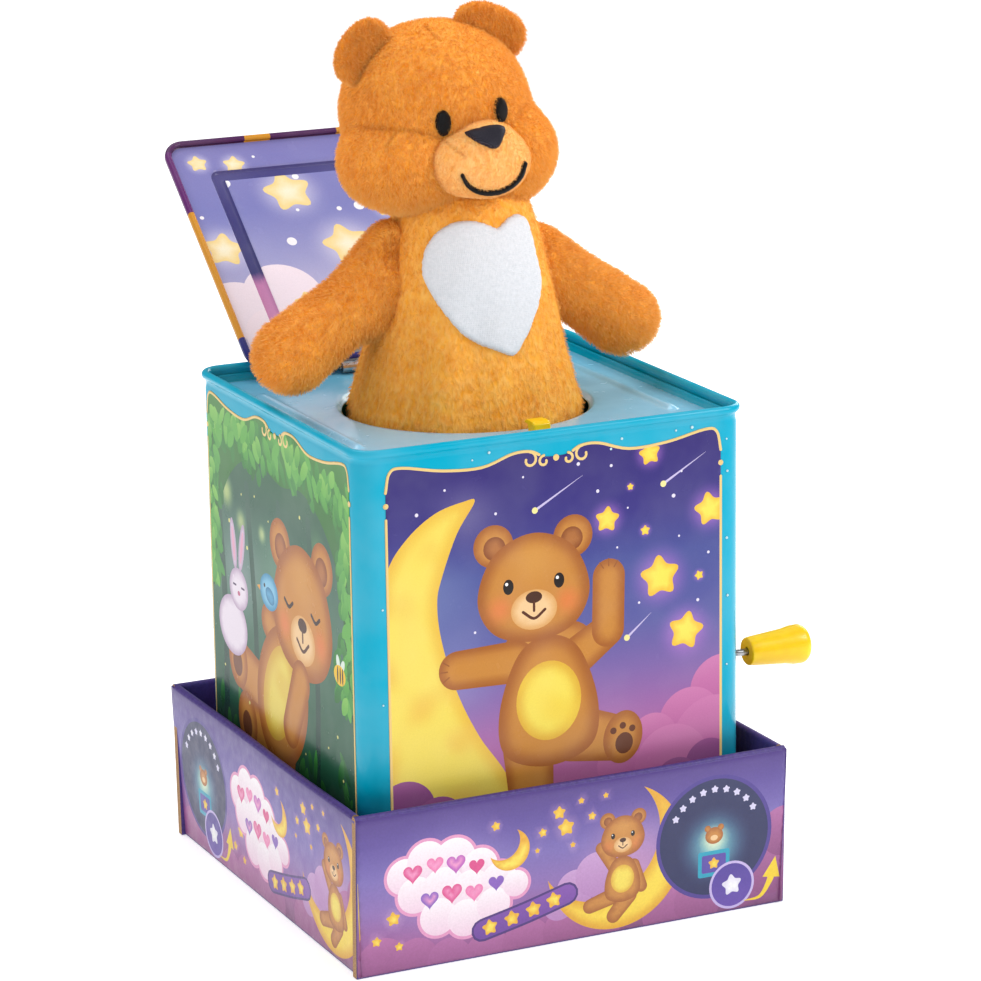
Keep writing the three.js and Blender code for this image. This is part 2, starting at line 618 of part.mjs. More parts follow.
function buildMovement() {
  const plate = polygon([[-19, 84], [30, 84], [30, 145], [-10, 145], [-19, 139]]);
  plate.holes.push(circularHole(0, CRANK_AXIS_Z, CRANK_WIRE + GAP));
  plate.holes.push(circularHole(DRUM_AXIS.y, DRUM_AXIS.z, BORE_RADIUS));
  const innerEnd = MOVEMENT_INNER_X + MOVEMENT_SHEET;
  const outerEnd = MOVEMENT_OUTER_X + MOVEMENT_SHEET;
  addPiece('movement_inner_plate', slabAcrossX(plate, MOVEMENT_INNER_X, innerEnd), STEEL);
  addPiece('movement_outer_plate', slabAcrossX(plate, MOVEMENT_OUTER_X, outerEnd), STEEL);
  PILLARS.forEach(([y, z], index) => {
    const pillar = rod('x', 2, innerEnd + GAP, MOVEMENT_OUTER_X - GAP, y, z);
    addPiece(`movement_pillar_${index + 1}`, pillar, BRASS);
  });

  const { y, z } = DRUM_AXIS;
  const axle = rod('x', AXLE_RADIUS, MOVEMENT_INNER_X - 1, outerEnd + 0.2, y, z);
  addPiece('drum_axle', axle, STEEL);
  const gear = gearShape(DRUM_TEETH, 0.5);
  gear.holes.push(circularHole(0, 0, BORE_RADIUS));
  addPiece('drum_gear', onAxis(gear, GEAR_X, GEAR_X + GEAR_WIDTH, y, z), WHITE_PLASTIC);
  addPiece('music_drum', musicDrum(), BRASS);
  addPiece('release_cam', onAxis(camShape(), CAM_X - 0.6, CAM_X + 0.6, y, z), GREY_PLASTIC);

  buildComb();
}

// The drum with its pins, set in rows one comb tooth apart and turned by a fixed step from row to row.
function musicDrum() {
  const { y, z } = DRUM_AXIS;
  const profile = [
    [BORE_RADIUS, DRUM_START_X], [DRUM_RADIUS, DRUM_START_X],
    [DRUM_RADIUS, DRUM_END_X], [BORE_RADIUS, DRUM_END_X],
  ];
  const barrel = turnedAlongX([...profile, profile[0]], y, z, 24);
  const pins = [];
  for (let row = 0; row < COMB_TEETH; row += 1) {
    const x = DRUM_START_X + 0.9 + row * COMB_PITCH;
    for (let turn = 0; turn < 2; turn += 1) {
      const pin = box(x - 0.2, x + 0.2, -0.2, 0.2, DRUM_RADIUS - 0.6, DRUM_RADIUS + 0.25);
      pins.push(pin.rotateX((row * 83 + turn * 157) * DEGREE).translate(0, y, z));
    }
  }
  return join(barrel, ...pins);
}

// A round cam with one lobe that lifts the release link's finger once a turn.
function camShape() {
  const base = 7;
  const lobe = 2.4;
  const points = [];
  const steps = 24;
  for (let i = 0; i < steps; i += 1) {
    const angle = (2 * Math.PI * i) / steps;
    const fromLobe = Math.abs(angle - Math.PI);
    const radius = base + lobe * Math.cos(Math.min(fromLobe * 3, Math.PI / 2));
    points.push(new THREE.Vector2(radius * Math.cos(angle), radius * Math.sin(angle)));
  }
  const shape = new THREE.Shape(points);
  shape.holes.push(circularHole(0, 0, BORE_RADIUS));
  return shape;
}

function buildComb() {
  const tip = DRUM_AXIS.y + DRUM_RADIUS + 0.7;
  const root = DRUM_AXIS.y + 17;
  const back = DRUM_AXIS.y + 24;
  const start = DRUM_START_X + 0.65;
  const points = [];
  for (let tooth = 0; tooth < COMB_TEETH; tooth += 1) {
    const x = start + tooth * COMB_PITCH;
    const toothRoot = root - tooth * 0.25;
    points.push([x, toothRoot], [x, tip], [x + 0.5, tip], [x + 0.5, toothRoot]);
  }
  const [left, right] = [DRUM_START_X + 0.3, DRUM_END_X - 0.3];
  points.push([right, root - 2], [right, back], [left, back], [left, root]);
  const outline = polygon(points);
  const block = polygon([[left, root], [right, root], [right, back], [left, back]]);
  const screws = [DRUM_START_X + 2.6, DRUM_END_X - 2.6];
  for (const x of screws) {
    outline.holes.push(circularHole(x, root + 3.5, 1));
    block.holes.push(circularHole(x, root + 3.5, 1));
  }
  const z = DRUM_AXIS.z;
  addPiece('comb', slab(outline, z - 0.4, z + 0.4), STEEL);
  addPiece('comb_block', slab(block, z - 8, z - 0.4 - GAP), GREY_PLASTIC);
  screws.forEach((x, index) => {
    const head = z + 0.4 + GAP;
    const profile = [
      [0, z - 6], [0.7, z - 6], [0.7, head], [1.7, head],
      [1.7, head + 0.7], [1.1, head + 1.2], [0, head + 1.2],
    ];
    addPiece(`comb_screw_${index + 1}`, turned(profile, x, root + 3.5, 12), STEEL);
  });
}

// ---------- Spring and light ----------

function buildSpring() {
  const baseTop = SPRING_BOTTOM - SPRING_WIRE - GAP;
  const base = [
    [3, TIN_BOTTOM + 2 + GAP], [21, TIN_BOTTOM + 2 + GAP], [21, baseTop + 2.4], [19.8, baseTop + 2.4],
    [19.8, baseTop], [15.6, baseTop], [15.6, baseTop + 1.6],
    [14.2, baseTop + 1.6], [14.2, baseTop], [3, baseTop],
  ];
  addPiece('spring_base', turned([...base, base[0]]), STEEL);
  const coil = new Coil(SPRING_RADIUS, SPRING_BOTTOM, SPRING_TOP, SPRING_COILS);
  addPiece('pop_spring', sweep(coil, SPRING_WIRE, SPRING_COILS * 11, 5), STEEL);

  const discZ = SPRING_TOP + SPRING_WIRE + GAP;
  const cap = [
    [0, discZ], [18, discZ], [18.5, discZ + 0.5], [18, discZ + 1.6], [5, discZ + 1.8],
    [4.6, discZ + 10], [6, discZ + 10.8], [3.6, discZ + 13.6], [0, discZ + 13.6],
  ];
  addPiece('spring_cap', turned(cap), WHITE_PLASTIC);

  const housingTop = discZ - GAP;
  const housing = [
    [0, housingTop - 1.4], [11.8, housingTop - 1.4], [11.8, housingTop - 16],
    [13, housingTop - 16], [13, housingTop], [0, housingTop],
  ];
  addPiece('light_housing', turned(housing), WHITE_PLASTIC);
  const boardZ = housingTop - 12;
  addPiece('light_board', rod('z', 11.3, boardZ, boardZ + 1.2, 0, 0, 18), BOARD_GREEN);
  const lights = [['light_red', RED_LIGHT], ['light_green', GREEN_LIGHT], ['light_blue', BLUE_LIGHT]];
  lights.forEach(([name, material], index) => {
    const angle = (index * 120 - 90) * DEGREE;
    const top = boardZ - GAP;
    const lens = [[0, top - 6.5], [1.8, top - 5.8], [2.5, top - 4], [2.5, top], [0, top]];
    addPiece(name, turned(lens, 6 * Math.cos(angle), 6 * Math.sin(angle), 12), material);
  });
  const domeTop = housingTop - 16 - GAP;
  const dome = [
    [13, domeTop], [11.6, domeTop], [11.6, domeTop - 12], [9.6, domeTop - 16.5], [2, domeTop - 18.6],
    [2, domeTop - 20], [10.4, domeTop - 17.8], [13, domeTop - 12.4],
  ];
  addPiece('light_diffuser', turned([...dome, dome[0]]), CLEAR_PLASTIC);

  const cableTop = domeTop - 20 - GAP;
  const cableBottom = TIN_BOTTOM + 3.4;
  const rise = cableTop - cableBottom;
  const bends = [[0, 0, 0], [4, 3, 0.2], [-5, 2, 0.4], [4, -4, 0.6], [-3, 2, 0.8], [0, 0, 1]];
  const points = bends.map(([x, y, share]) => new THREE.Vector3(x, y, cableBottom + share * rise));
  addPiece('light_cable', sweep(new THREE.CatmullRomCurve3(points), 0.9, 20, 5), BLACK_PLASTIC);
}

// ---------- Battery box ----------

function buildBatteryBox() {
  const floor = TIN_BOTTOM + 2 + GAP;
  const shell = box(CELL_X - 9.6, CELL_X + 9.6, -56.5, 56.5, floor, CELL_Z + 9.6);
  const hollow = box(CELL_X - 8.4, CELL_X + 8.4, -55.3, 55.3, floor - 1, CELL_Z + 8.4);
  const screwPost = rod('z', 3, floor, CELL_Z + 9, CELL_X, 59, 14);
  const screwBore = rod('z', 1.5, floor - 1, CELL_Z, CELL_X, 59, 12);
  addPiece('battery_box', cut(join(cut(shell, hollow), screwPost), screwBore), BLACK_PLASTIC);

  for (const [name, middle] of [['battery_1', -25.9], ['battery_2', 25.7]]) {
    const profile = [
      [0, middle - 25.25], [6.6, middle - 25.25], [7.25, middle - 24.8], [7.25, middle + 23.4],
      [6.6, middle + 23.8], [2.7, middle + 23.8], [2.7, middle + 25.25], [0, middle + 25.25],
    ];
    const cell = new THREE.LatheGeometry(profile.map(([r, y]) => new THREE.Vector2(r, y)), 14);
    addPiece(name, cell.translate(CELL_X, 0, CELL_Z), CELL_WRAP);
  }
  const plus = box(CELL_X - 5, CELL_X + 5, 54, 54.6, CELL_Z - 6, CELL_Z + 6);
  addPiece('battery_contact', plus, STEEL);
  const contactSpring = sweep(new Coil(3.6, 0, 2.4, 2), 0.35, 20, 4);
  addPiece('battery_spring', contactSpring.rotateX(-Math.PI / 2).translate(CELL_X, -54.6, CELL_Z), STEEL);

  const doorZ = TIN_BOTTOM + 1;
  const door = roundedRectangle(8 - GAP, 53 - GAP, 1);
  const lip = box(-6.8, 6.8, -51, 51, doorZ + 0.9, doorZ + 2.4);
  const hollowLip = cut(lip, box(-5.6, 5.6, -49.8, 49.8, doorZ + 0.8, doorZ + 3));
  const doorSolid = join(slab(door, doorZ, doorZ + 1), hollowLip);
  addPiece('battery_door', doorSolid.translate(CELL_X, 0, 0), BLACK_PLASTIC);
}

// ---------- Bear ----------

// The sleeve's outline grown or shrunk by the given amount.
function sleeveRadii(grow) {
  return SLEEVE_OUTLINE.map(([radius, z]) => [radius + grow, z]);
}

function sleeveShell(outside, inside) {
  const loop = [...sleeveRadii(outside), ...sleeveRadii(inside).reverse()];
  return turned([...loop, loop[0]], 0, 0, 20);
}

function sleeveCore(grow) {
  const outline = sleeveRadii(grow);
  const top = outline[outline.length - 1][1];
  return turned([[0, outline[0][1]], ...outline, [0, top]], 0, 0, 20);
}

function headSolid(grow) {
  return ellipsoid(0, HEAD.y, HEAD.z, HEAD.rx + grow, HEAD.ry + grow, HEAD.rz + grow);
}

function muzzleSolid(grow) {
  const { y, z, rx, ry, rz } = MUZZLE;
  return ellipsoid(FACE_X, y, z, rx + grow, ry + grow, rz + grow, 16, 10);
}

function buildBear() {
  addPiece('bear_sleeve', sleeveShell(0, -1.6), BEAR_FUR);
  const capRoom = rod('z', 6.6, HEAD.z - 40, SPRING_TOP + 16, 0, 0, 14);
  addPiece('bear_head', cut(headSolid(0), capRoom), BEAR_FUR);
  addPiece('bear_muzzle', cut(muzzleSolid(0), headSolid(GAP)), BEAR_FUR);
  const nose = ellipsoid(FACE_X, NOSE.y, NOSE.z, NOSE.rx, NOSE.ry, NOSE.rz, 12, 8);
  addPiece('bear_nose', cut(nose, muzzleSolid(GAP)), NOSE_FELT);

  for (const [side, sign] of [['left', -1], ['right', 1]]) {
    const ear = ellipsoid(0, 0, 0, 12.5, 5, 10.5, 14, 10);
    const { x, z, lean } = EARS[side];
    ear.rotateY(-lean * DEGREE).translate(x, 6, z);
    addPiece(`bear_${side}_ear`, cut(ear, headSolid(GAP)), BEAR_FUR);
    addPiece(`bear_${side}_arm`, armSolid(sign), BEAR_FUR);
  }
  addPiece('bear_heart', heartPanel(), WHITE_FABRIC);
}

function armSolid(sign) {
  const reach = Math.hypot(PAW.x - SHOULDER.x, PAW.z - SHOULDER.z);
  const slope = Math.atan2(SHOULDER.z - PAW.z, PAW.x - SHOULDER.x);
  const arm = new THREE.CapsuleGeometry(PAW.radius, reach, 4, 12);
  arm.rotateZ(Math.PI / 2).rotateY(slope);
  arm.translate((PAW.x + SHOULDER.x) / 2, 0, (PAW.z + SHOULDER.z) / 2);
  if (sign < 0) arm.rotateZ(Math.PI);
  return cut(arm, sleeveCore(2 * GAP));
}

// A heart cut out of a thin layer over the front of the sleeve.
function heartPanel() {
  const { tip, top, halfWidth: width } = HEART;
  const middle = FACE_X;
  const heart = new THREE.Shape();
  heart.moveTo(middle, tip);
  heart.bezierCurveTo(middle + 7, tip + 6, middle + width, tip + 17, middle + width, tip + 29);
  heart.bezierCurveTo(middle + width, top - 4, middle + 12, top, middle + 8, top);
  heart.bezierCurveTo(middle + 4, top, middle + 1, top - 2, middle, top - 5);
  heart.bezierCurveTo(middle - 1, top - 2, middle - 4, top, middle - 8, top);
  heart.bezierCurveTo(middle - 12, top, middle - width, top - 4, middle - width, tip + 29);
  heart.bezierCurveTo(middle - width, tip + 17, middle - 7, tip + 6, middle, tip);
  const prism = new THREE.ExtrudeGeometry(heart, { depth: 60, bevelEnabled: false, curveSegments: 5 });
  prism.rotateX(Math.PI / 2);
  return overlapOf(sleeveShell(GAP + 0.9, GAP), prism);
}

buildTray();
buildTin();
buildLid();
buildLatch();
buildSwitch();
buildCrank();
buildMovement();
buildSpring();
buildBatteryBox();
buildBear();

export default object;
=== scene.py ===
import json
import math

import bpy
import numpy as np
from mathutils import Matrix, Vector, noise
from mathutils.bvhtree import BVHTree
from mathutils.geometry import delaunay_2d_cdt


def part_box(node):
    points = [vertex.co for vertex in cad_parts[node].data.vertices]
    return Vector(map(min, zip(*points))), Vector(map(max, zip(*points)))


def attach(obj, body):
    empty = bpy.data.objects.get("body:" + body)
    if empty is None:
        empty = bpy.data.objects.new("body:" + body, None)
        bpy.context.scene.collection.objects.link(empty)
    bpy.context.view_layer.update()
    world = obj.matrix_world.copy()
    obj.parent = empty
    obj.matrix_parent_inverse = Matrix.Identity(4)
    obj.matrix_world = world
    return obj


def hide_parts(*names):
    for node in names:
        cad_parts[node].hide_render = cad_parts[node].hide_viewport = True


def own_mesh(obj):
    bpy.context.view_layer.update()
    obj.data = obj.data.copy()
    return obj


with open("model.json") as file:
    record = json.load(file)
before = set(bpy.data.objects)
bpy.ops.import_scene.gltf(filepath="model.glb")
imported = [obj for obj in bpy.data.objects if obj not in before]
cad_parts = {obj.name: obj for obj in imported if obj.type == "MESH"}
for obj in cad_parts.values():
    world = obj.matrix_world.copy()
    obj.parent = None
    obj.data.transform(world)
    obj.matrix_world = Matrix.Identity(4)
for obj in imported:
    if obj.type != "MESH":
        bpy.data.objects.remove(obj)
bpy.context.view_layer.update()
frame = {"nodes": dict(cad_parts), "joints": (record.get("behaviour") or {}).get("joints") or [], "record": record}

# Lengths are millimetres in the frame's axes (-Y is the front, +Z up) up to the floor, lights and camera,
# which are in metres. Meshes are written in metres. Left and right are as seen from the front.
MM = 0.001
joints = {joint["name"]: joint for joint in frame["joints"]}
random_numbers = np.random.default_rng(20)


def box_mm(node):
    low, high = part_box(node)
    return np.array(low) / MM, np.array(high) / MM


# ---------- Driving dimensions, from the frame ----------

tin_low, tin_high = box_mm("tin_body")
tray_low, tray_high = box_mm("display_tray")
knob_low, knob_high = box_mm("crank_knob")
handle_low, handle_high = box_mm("crank_handle")
bushing_low, bushing_high = box_mm("crank_bushing")
latch_low, latch_high = box_mm("latch_lever")
muzzle_low, muzzle_high = box_mm("bear_muzzle")
nose_low, nose_high = box_mm("bear_nose")
sleeve_low, _ = box_mm("bear_sleeve")

RIM_OUT = 1.2                       # how far the rolled rim stands outside the walls
TIN_HALF = tin_high[0] - RIM_OUT
TIN_BOTTOM, TIN_TOP = tin_low[2], tin_high[2]
TIN_CORNER = 8
PLATE_TOP = TIN_TOP - 6
HOLE_RADIUS = 42
LID_PIVOT = np.array(joints["lid_hinge"]["pos_m"]) / MM
LID_OPEN = math.radians(joints["lid_hinge"]["range_deg"][1])
LID_HALF = 53.5
LID_MIDDLE_Y = LID_PIVOT[1] - 2.5 - LID_HALF
LID_TOP = PLATE_TOP + 3
FACE_X = (nose_low[0] + nose_high[0]) / 2
POP_TRAVEL = -joints["pop_slide"]["range_m"][0] / MM
SIDE_TURNS = {"front": 0, "right": 90, "back": 180, "left": 270}


# ---------- Colour ----------

def srgb(code):
    """'#rrggbb' as three numbers from 0 to 1."""
    return np.array([int(code[i:i + 2], 16) / 255 for i in (1, 3, 5)])


def linear(colour):
    colour = np.clip(np.asarray(colour, float), 0, 1)
    return np.where(colour <= 0.04045, colour / 12.92, ((colour + 0.055) / 1.055) ** 2.4)


def rgba(code):
    return (*linear(srgb(code)), 1.0)


# ---------- Materials ----------

class Finish:
    """A node material with one Principled shader, with short calls for the nodes around it."""

    def __init__(self, name, **settings):
        self.material = bpy.data.materials.new(name)
        self.material.use_nodes = True
        self.tree = self.material.node_tree
        self.shader = self.tree.nodes["Principled BSDF"]
        self.place = self.node("ShaderNodeTexCoord").outputs["Object"]
        self.set(**settings)

    def node(self, kind, **fields):
        made = self.tree.nodes.new(kind)
        for field, value in fields.items():
            setattr(made, field, value)
        return made

    def link(self, source, target):
        if isinstance(source, (int, float, tuple)):
            target.default_value = source
        else:
            self.tree.links.new(source, target)

    def set(self, **settings):
        for label, value in settings.items():
            self.link(value, self.shader.inputs[label.replace("_", " ")])
        return self

    def noise(self, size, detail=3, stretch=(1, 1, 1), distortion=0):
        """Noise from 0 to 1 whose features are about the given number of millimetres."""
        mapping = self.node("ShaderNodeMapping")
        mapping.inputs["Scale"].default_value = stretch
        self.link(self.place, mapping.inputs["Vector"])
        made = self.node("ShaderNodeTexNoise")
        self.link(mapping.outputs[0], made.inputs["Vector"])
        made.inputs["Scale"].default_value = 1 / (size * MM)
        made.inputs["Detail"].default_value = detail
        made.inputs["Distortion"].default_value = distortion
        return made.outputs["Fac"]

    def wave(self, pitch, direction, distortion=0):
        made = self.node("ShaderNodeTexWave", bands_direction=direction)
        self.link(self.place, made.inputs["Vector"])
        made.inputs["Scale"].default_value = math.pi / 10 / (pitch * MM)
        made.inputs["Distortion"].default_value = distortion
        return made.outputs["Fac"]

    def range(self, value, low, high, start=0.0, end=1.0):
        made = self.node("ShaderNodeMapRange")
        for label, number in zip(("From Min", "From Max", "To Min", "To Max"), (low, high, start, end)):
            made.inputs[label].default_value = number
        self.link(value, made.inputs["Value"])
        return made.outputs[0]

    def mix(self, factor, first, second, how="MIX"):
        made = self.node("ShaderNodeMix", data_type="RGBA", blend_type=how)
        self.link(factor, made.inputs["Factor"])
        # Sockets 6 and 7 are the two colours.
        for socket, colour in ((6, first), (7, second)):
            self.link(rgba(colour) if isinstance(colour, str) else colour, made.inputs[socket])
        return made.outputs[2]

    def maths(self, how, first, second=0.0):
        made = self.node("ShaderNodeMath", operation=how)
        self.link(first, made.inputs[0])
        self.link(second, made.inputs[1])
        return made.outputs[0]

    def attribute(self, name):
        made = self.node("ShaderNodeAttribute", attribute_name=name)
        return made.outputs["Color"], made.outputs["Fac"]

    def bump(self, height, depth, strength=1.0):
        """Bump whose full height is the given number of millimetres."""
        made = self.node("ShaderNodeBump")
        made.inputs["Distance"].default_value = depth * MM
        made.inputs["Strength"].default_value = strength
        self.link(height, made.inputs["Height"])
        self.link(made.outputs[0], self.shader.inputs["Normal"])
        return self


def lacquered_tin(name, gloss):
    """Printed tin plate under clear lacquer: the sheet's faint waviness, fine speckle and handling marks."""
    finish = Finish(name, Specular_IOR_Level=gloss, Coat_Weight=0.3 * gloss, Coat_Roughness=0.08)
    colour, _ = finish.attribute("print")
    speckle = finish.range(finish.noise(0.5), 0.3, 0.7, 0.0, 0.06)
    cloudy = finish.range(finish.noise(22), 0.4, 0.7, 0.0, 0.025)
    shade = finish.mix(speckle, colour, (0, 0, 0, 1))
    finish.set(Base_Color=finish.mix(cloudy, shade, (1, 1, 1, 1)))
    finish.set(Roughness=finish.range(finish.noise(6), 0.3, 0.7, 0.16, 0.28))
    finish.bump(finish.noise(9, detail=1), 0.04)
    return finish.material


def tin_rim_metal(name, colour, wear_colour):
    """Lacquered tin whose convex edges are rubbed a little towards the metal."""
    finish = Finish(name, Specular_IOR_Level=0.15)
    geometry = finish.node("ShaderNodeNewGeometry")
    edge = finish.range(geometry.outputs["Pointiness"], 0.53, 0.62, 0.0, 0.4)
    worn = finish.maths("MULTIPLY", edge, finish.range(finish.noise(3, detail=5), 0.5, 0.7))
    cloudy = finish.range(finish.noise(25), 0.4, 0.7, 0.0, 0.04)
    lacquer = finish.mix(cloudy, colour, "#ffffff")
    finish.set(Base_Color=finish.mix(worn, lacquer, wear_colour))
    finish.set(Roughness=finish.range(finish.noise(7), 0.3, 0.7, 0.14, 0.26))
    finish.bump(finish.noise(11, detail=1), 0.04)
    return finish.material


def printed_card():
    finish = Finish("printed_card", Coat_Weight=0.15, Coat_Roughness=0.25)
    colour, _ = finish.attribute("print")
    fibre = finish.range(finish.noise(0.7, detail=4), 0.3, 0.7, 0.0, 0.1)
    finish.set(Base_Color=finish.mix(fibre, colour, (0.0, 0.0, 0.0, 1)))
    finish.set(Roughness=finish.range(finish.noise(4), 0.3, 0.7, 0.32, 0.48))
    finish.bump(finish.noise(1.2, detail=4), 0.06)
    return finish.material


def raw_card(name, light, dark):
    """Unprinted board: brown fibres that run along it."""
    finish = Finish(name, Roughness=0.85)
    fibre = finish.range(finish.noise(0.8, detail=5, stretch=(1, 1, 4)), 0.3, 0.7)
    finish.set(Base_Color=finish.mix(fibre, dark, light))
    finish.bump(fibre, 0.1)
    return finish.material


def moulded_plastic(name, colour, shade, roughness=0.28):
    finish = Finish(name, IOR=1.46, Subsurface_Weight=0.06, Subsurface_Scale=0.003)
    mottled = finish.range(finish.noise(8), 0.35, 0.65)
    finish.set(Base_Color=finish.mix(mottled, shade, colour))
    scuffs = finish.range(finish.noise(1.5, detail=6, stretch=(1, 4, 1)), 0.45, 0.75, roughness,
                          roughness + 0.2)
    finish.set(Roughness=scuffs)
    finish.bump(finish.noise(2.2, detail=2), 0.02)
    return finish.material


def drawn_metal(name, light, dark, roughness=0.3):
    finish = Finish(name, Metallic=1.0)
    streak = finish.range(finish.noise(0.9, detail=4, stretch=(0.2, 1, 1)), 0.3, 0.7)
    finish.set(Base_Color=finish.mix(streak, dark, light))
    finish.set(Roughness=finish.range(finish.noise(2), 0.3, 0.7, roughness - 0.06, roughness + 0.12))
    finish.bump(streak, 0.01)
    return finish.material


def plush(name, on_strands, tones=("#f09626", "#fdb040", "#ffcc7a")):
    """Short pile: patches of painted sheen, lighter and deeper, stand for the pile brushed up and pressed down;
    painted shade darkens it along the seams.
    """
    finish = Finish(name, IOR=1.4)
    low, middle, high = tones
    # Painted sheen: lighter and deeper patches for the pile's brushed and pressed directions.
    sheen_patches = finish.range(finish.noise(8, detail=3, distortion=1.5), 0.3, 0.7)
    tufts = finish.range(finish.noise(1.4, detail=4, stretch=(1, 1, 0.45)), 0.32, 0.68)
    pile = finish.mix(sheen_patches, low, middle)
    pile = finish.mix(finish.maths("MULTIPLY", tufts, 0.45), pile, high)
    _, seam = finish.attribute("seam")
    # Painted shade along the seams, where the skin is pulled in: the pile is darker there.
    pile = finish.mix(finish.maths("MULTIPLY", seam, 0.35), pile, "#b4640f")
    if on_strands:
        along = finish.node("ShaderNodeHairInfo").outputs["Intercept"]
        pile = finish.mix(finish.range(along, 0.3, 1.0, 0.0, 0.3), pile, "#ffdca0")
        finish.set(Roughness=0.6, Specular_IOR_Level=0.2)
    else:
        finish.set(Roughness=finish.range(tufts, 0, 1, 0.8, 1.0), Specular_IOR_Level=0.1)
        finish.bump(tufts, 0.45)
    finish.set(Base_Color=pile, Sheen_Weight=0.12, Sheen_Roughness=0.4, Sheen_Tint=rgba("#ffc27a"))
    return finish.material


def smooth_knit():
    """White brushed knit: fine rows of loops and soft creases."""
    finish = Finish("heart_knit", Sheen_Weight=0.3, Roughness=0.85, Specular_IOR_Level=0.2)
    rows = finish.maths("MULTIPLY", finish.wave(0.55, "X"), finish.wave(0.7, "Z"))
    nap = finish.range(finish.noise(1.1, detail=4), 0.3, 0.7)
    cloth = finish.mix(nap, "#d0d1d5", "#dcdce0")
    finish.set(Base_Color=finish.mix(finish.maths("MULTIPLY", rows, 0.06), cloth, "#c9cbd6"))
    finish.bump(finish.maths("ADD", rows, nap), 0.06)
    return finish.material


def satin_stitch(name, thread, shade, pitch=0.42, direction="X"):
    """Embroidery: side by side threads with a soft gloss."""
    finish = Finish(name, Specular_IOR_Level=0.22)
    threads = finish.wave(pitch, direction, distortion=0.6)
    uneven = finish.maths("MULTIPLY", threads, finish.range(finish.noise(0.6), 0.3, 0.7, 0.6, 1.0))
    # The grooves between the threads take the darker colour: painted shade.
    finish.set(Base_Color=finish.mix(uneven, shade, thread))
    finish.set(Roughness=finish.range(threads, 0, 1, 0.65, 0.42))
    finish.bump(threads, 0.18)
    return finish.material


def tinted_clear(name, colour, haze_colour):
    finish = Finish(name, Transmission_Weight=0.6, IOR=1.45)
    haze = finish.range(finish.noise(1.6), 0.3, 0.7)
    finish.set(Base_Color=finish.mix(haze, colour, haze_colour))
    finish.set(Roughness=finish.range(haze, 0, 1, 0.12, 0.25))
    return finish.material


cyan_tin = tin_rim_metal("cyan_tin", "#00a0be", "#b9dbe2")
printed_tin = lacquered_tin("printed_tin", 0.12)
plate_tin = lacquered_tin("plate_tin", 0.7)
card_print = printed_card()
brown_card = raw_card("brown_card", "#b8926a", "#8d6a45")
yellow_plastic = moulded_plastic("yellow_plastic", "#f6d00a", "#eec004")
steel = drawn_metal("steel", "#c3c5c8", "#8f9296")
brass = drawn_metal("brass", "#d9b45c", "#a8843a")
fur_skin = plush("bear_fur", on_strands=False)
fur_strands = plush("bear_fur_strands", True, ("#ec9c28", "#f6b440", "#fccb76"))
MUZZLE_TONES = ("#f8b45a", "#fdc070", "#ffd698")
muzzle_skin = plush("muzzle_fur", False, MUZZLE_TONES)
muzzle_strands = plush("muzzle_fur_strands", True, MUZZLE_TONES)
heart_knit = smooth_knit()
black_thread = satin_stitch("black_thread", "#17171a", "#060607")
nose_thread = satin_stitch("nose_thread", "#3a3744", "#1d1b24", pitch=0.3, direction="DIAGONAL")

slot_finishes = {
    "cyan_tin": cyan_tin,
    "sky_tin": tin_rim_metal("sky_tin", "#8cc8ea", "#e6eef2"),
    "night_tin": tin_rim_metal("night_tin", "#7b79bb", "#d8d8e4"),
    "steel": steel,
    "brass": brass,
    "yellow_plastic": yellow_plastic,
    "white_plastic": moulded_plastic("white_plastic", "#efefea", "#dedfd8", 0.4),
    "grey_plastic": moulded_plastic("grey_plastic", "#9aa0a4", "#83898e", 0.4),
    "black_plastic": moulded_plastic("black_plastic", "#2b2c30", "#1c1d20", 0.4),
    "board": moulded_plastic("board", "#2f7a4c", "#1f5c38", 0.35),
    "brown_card": brown_card,
    "clear_plastic": tinted_clear("clear_plastic", "#fbf3d8", "#ffffff"),
    "red_lens": tinted_clear("red_lens", "#e04434", "#e04434"),
    "green_lens": tinted_clear("green_lens", "#3cc45a", "#3cc45a"),
    "blue_lens": tinted_clear("blue_lens", "#3d6ff0", "#3d6ff0"),
    "cell_wrap": moulded_plastic("cell_wrap", "#50545c", "#3c4047", 0.35),
}


# ---------- Meshes ----------

INK_STRENGTH = 0.83                 # how much of the light a printed colour gives back


def add_object(name, mesh, body, stands_for=()):
    piece = bpy.data.objects.new(name, mesh)
    bpy.context.scene.collection.objects.link(piece)
    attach(piece, body)
    if stands_for:
        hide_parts(*stands_for)
    return piece


def make_mesh(name, points, faces, materials, sharp=35):
    """A smooth-shaded mesh from points in millimetres; edges sharper than the angle stay crisp."""
    mesh = bpy.data.meshes.new(name)
    mesh.from_pydata((np.asarray(points, float) * MM).tolist(), [],
                     [list(map(int, face)) for face in faces])
    for material in materials:
        mesh.materials.append(material)
    mesh.validate()
    mesh.shade_smooth()
    mesh.set_sharp_from_angle(angle=math.radians(sharp))
    return mesh


def shorten_with_bear(piece):
    """Gives the piece a mesh of its own."""
    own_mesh(piece)


def grid_faces(rows, columns, close_rows=False, close_columns=True):
    """Quads over a grid of points stored row by row."""
    faces = []
    for row in range(rows if close_rows else rows - 1):
        for column in range(columns if close_columns else columns - 1):
            up, on = (row + 1) % rows, (column + 1) % columns
            faces.append((row * columns + column, row * columns + on, up * columns + on,
                          up * columns + column))
    return faces


def arc(middle_a, middle_b, radius, start, end, steps):
    """Points along an arc, in degrees."""
    angles = np.radians(np.linspace(start, end, steps + 1))
    return [(middle_a + radius * math.cos(a), middle_b + radius * math.sin(a)) for a in angles]


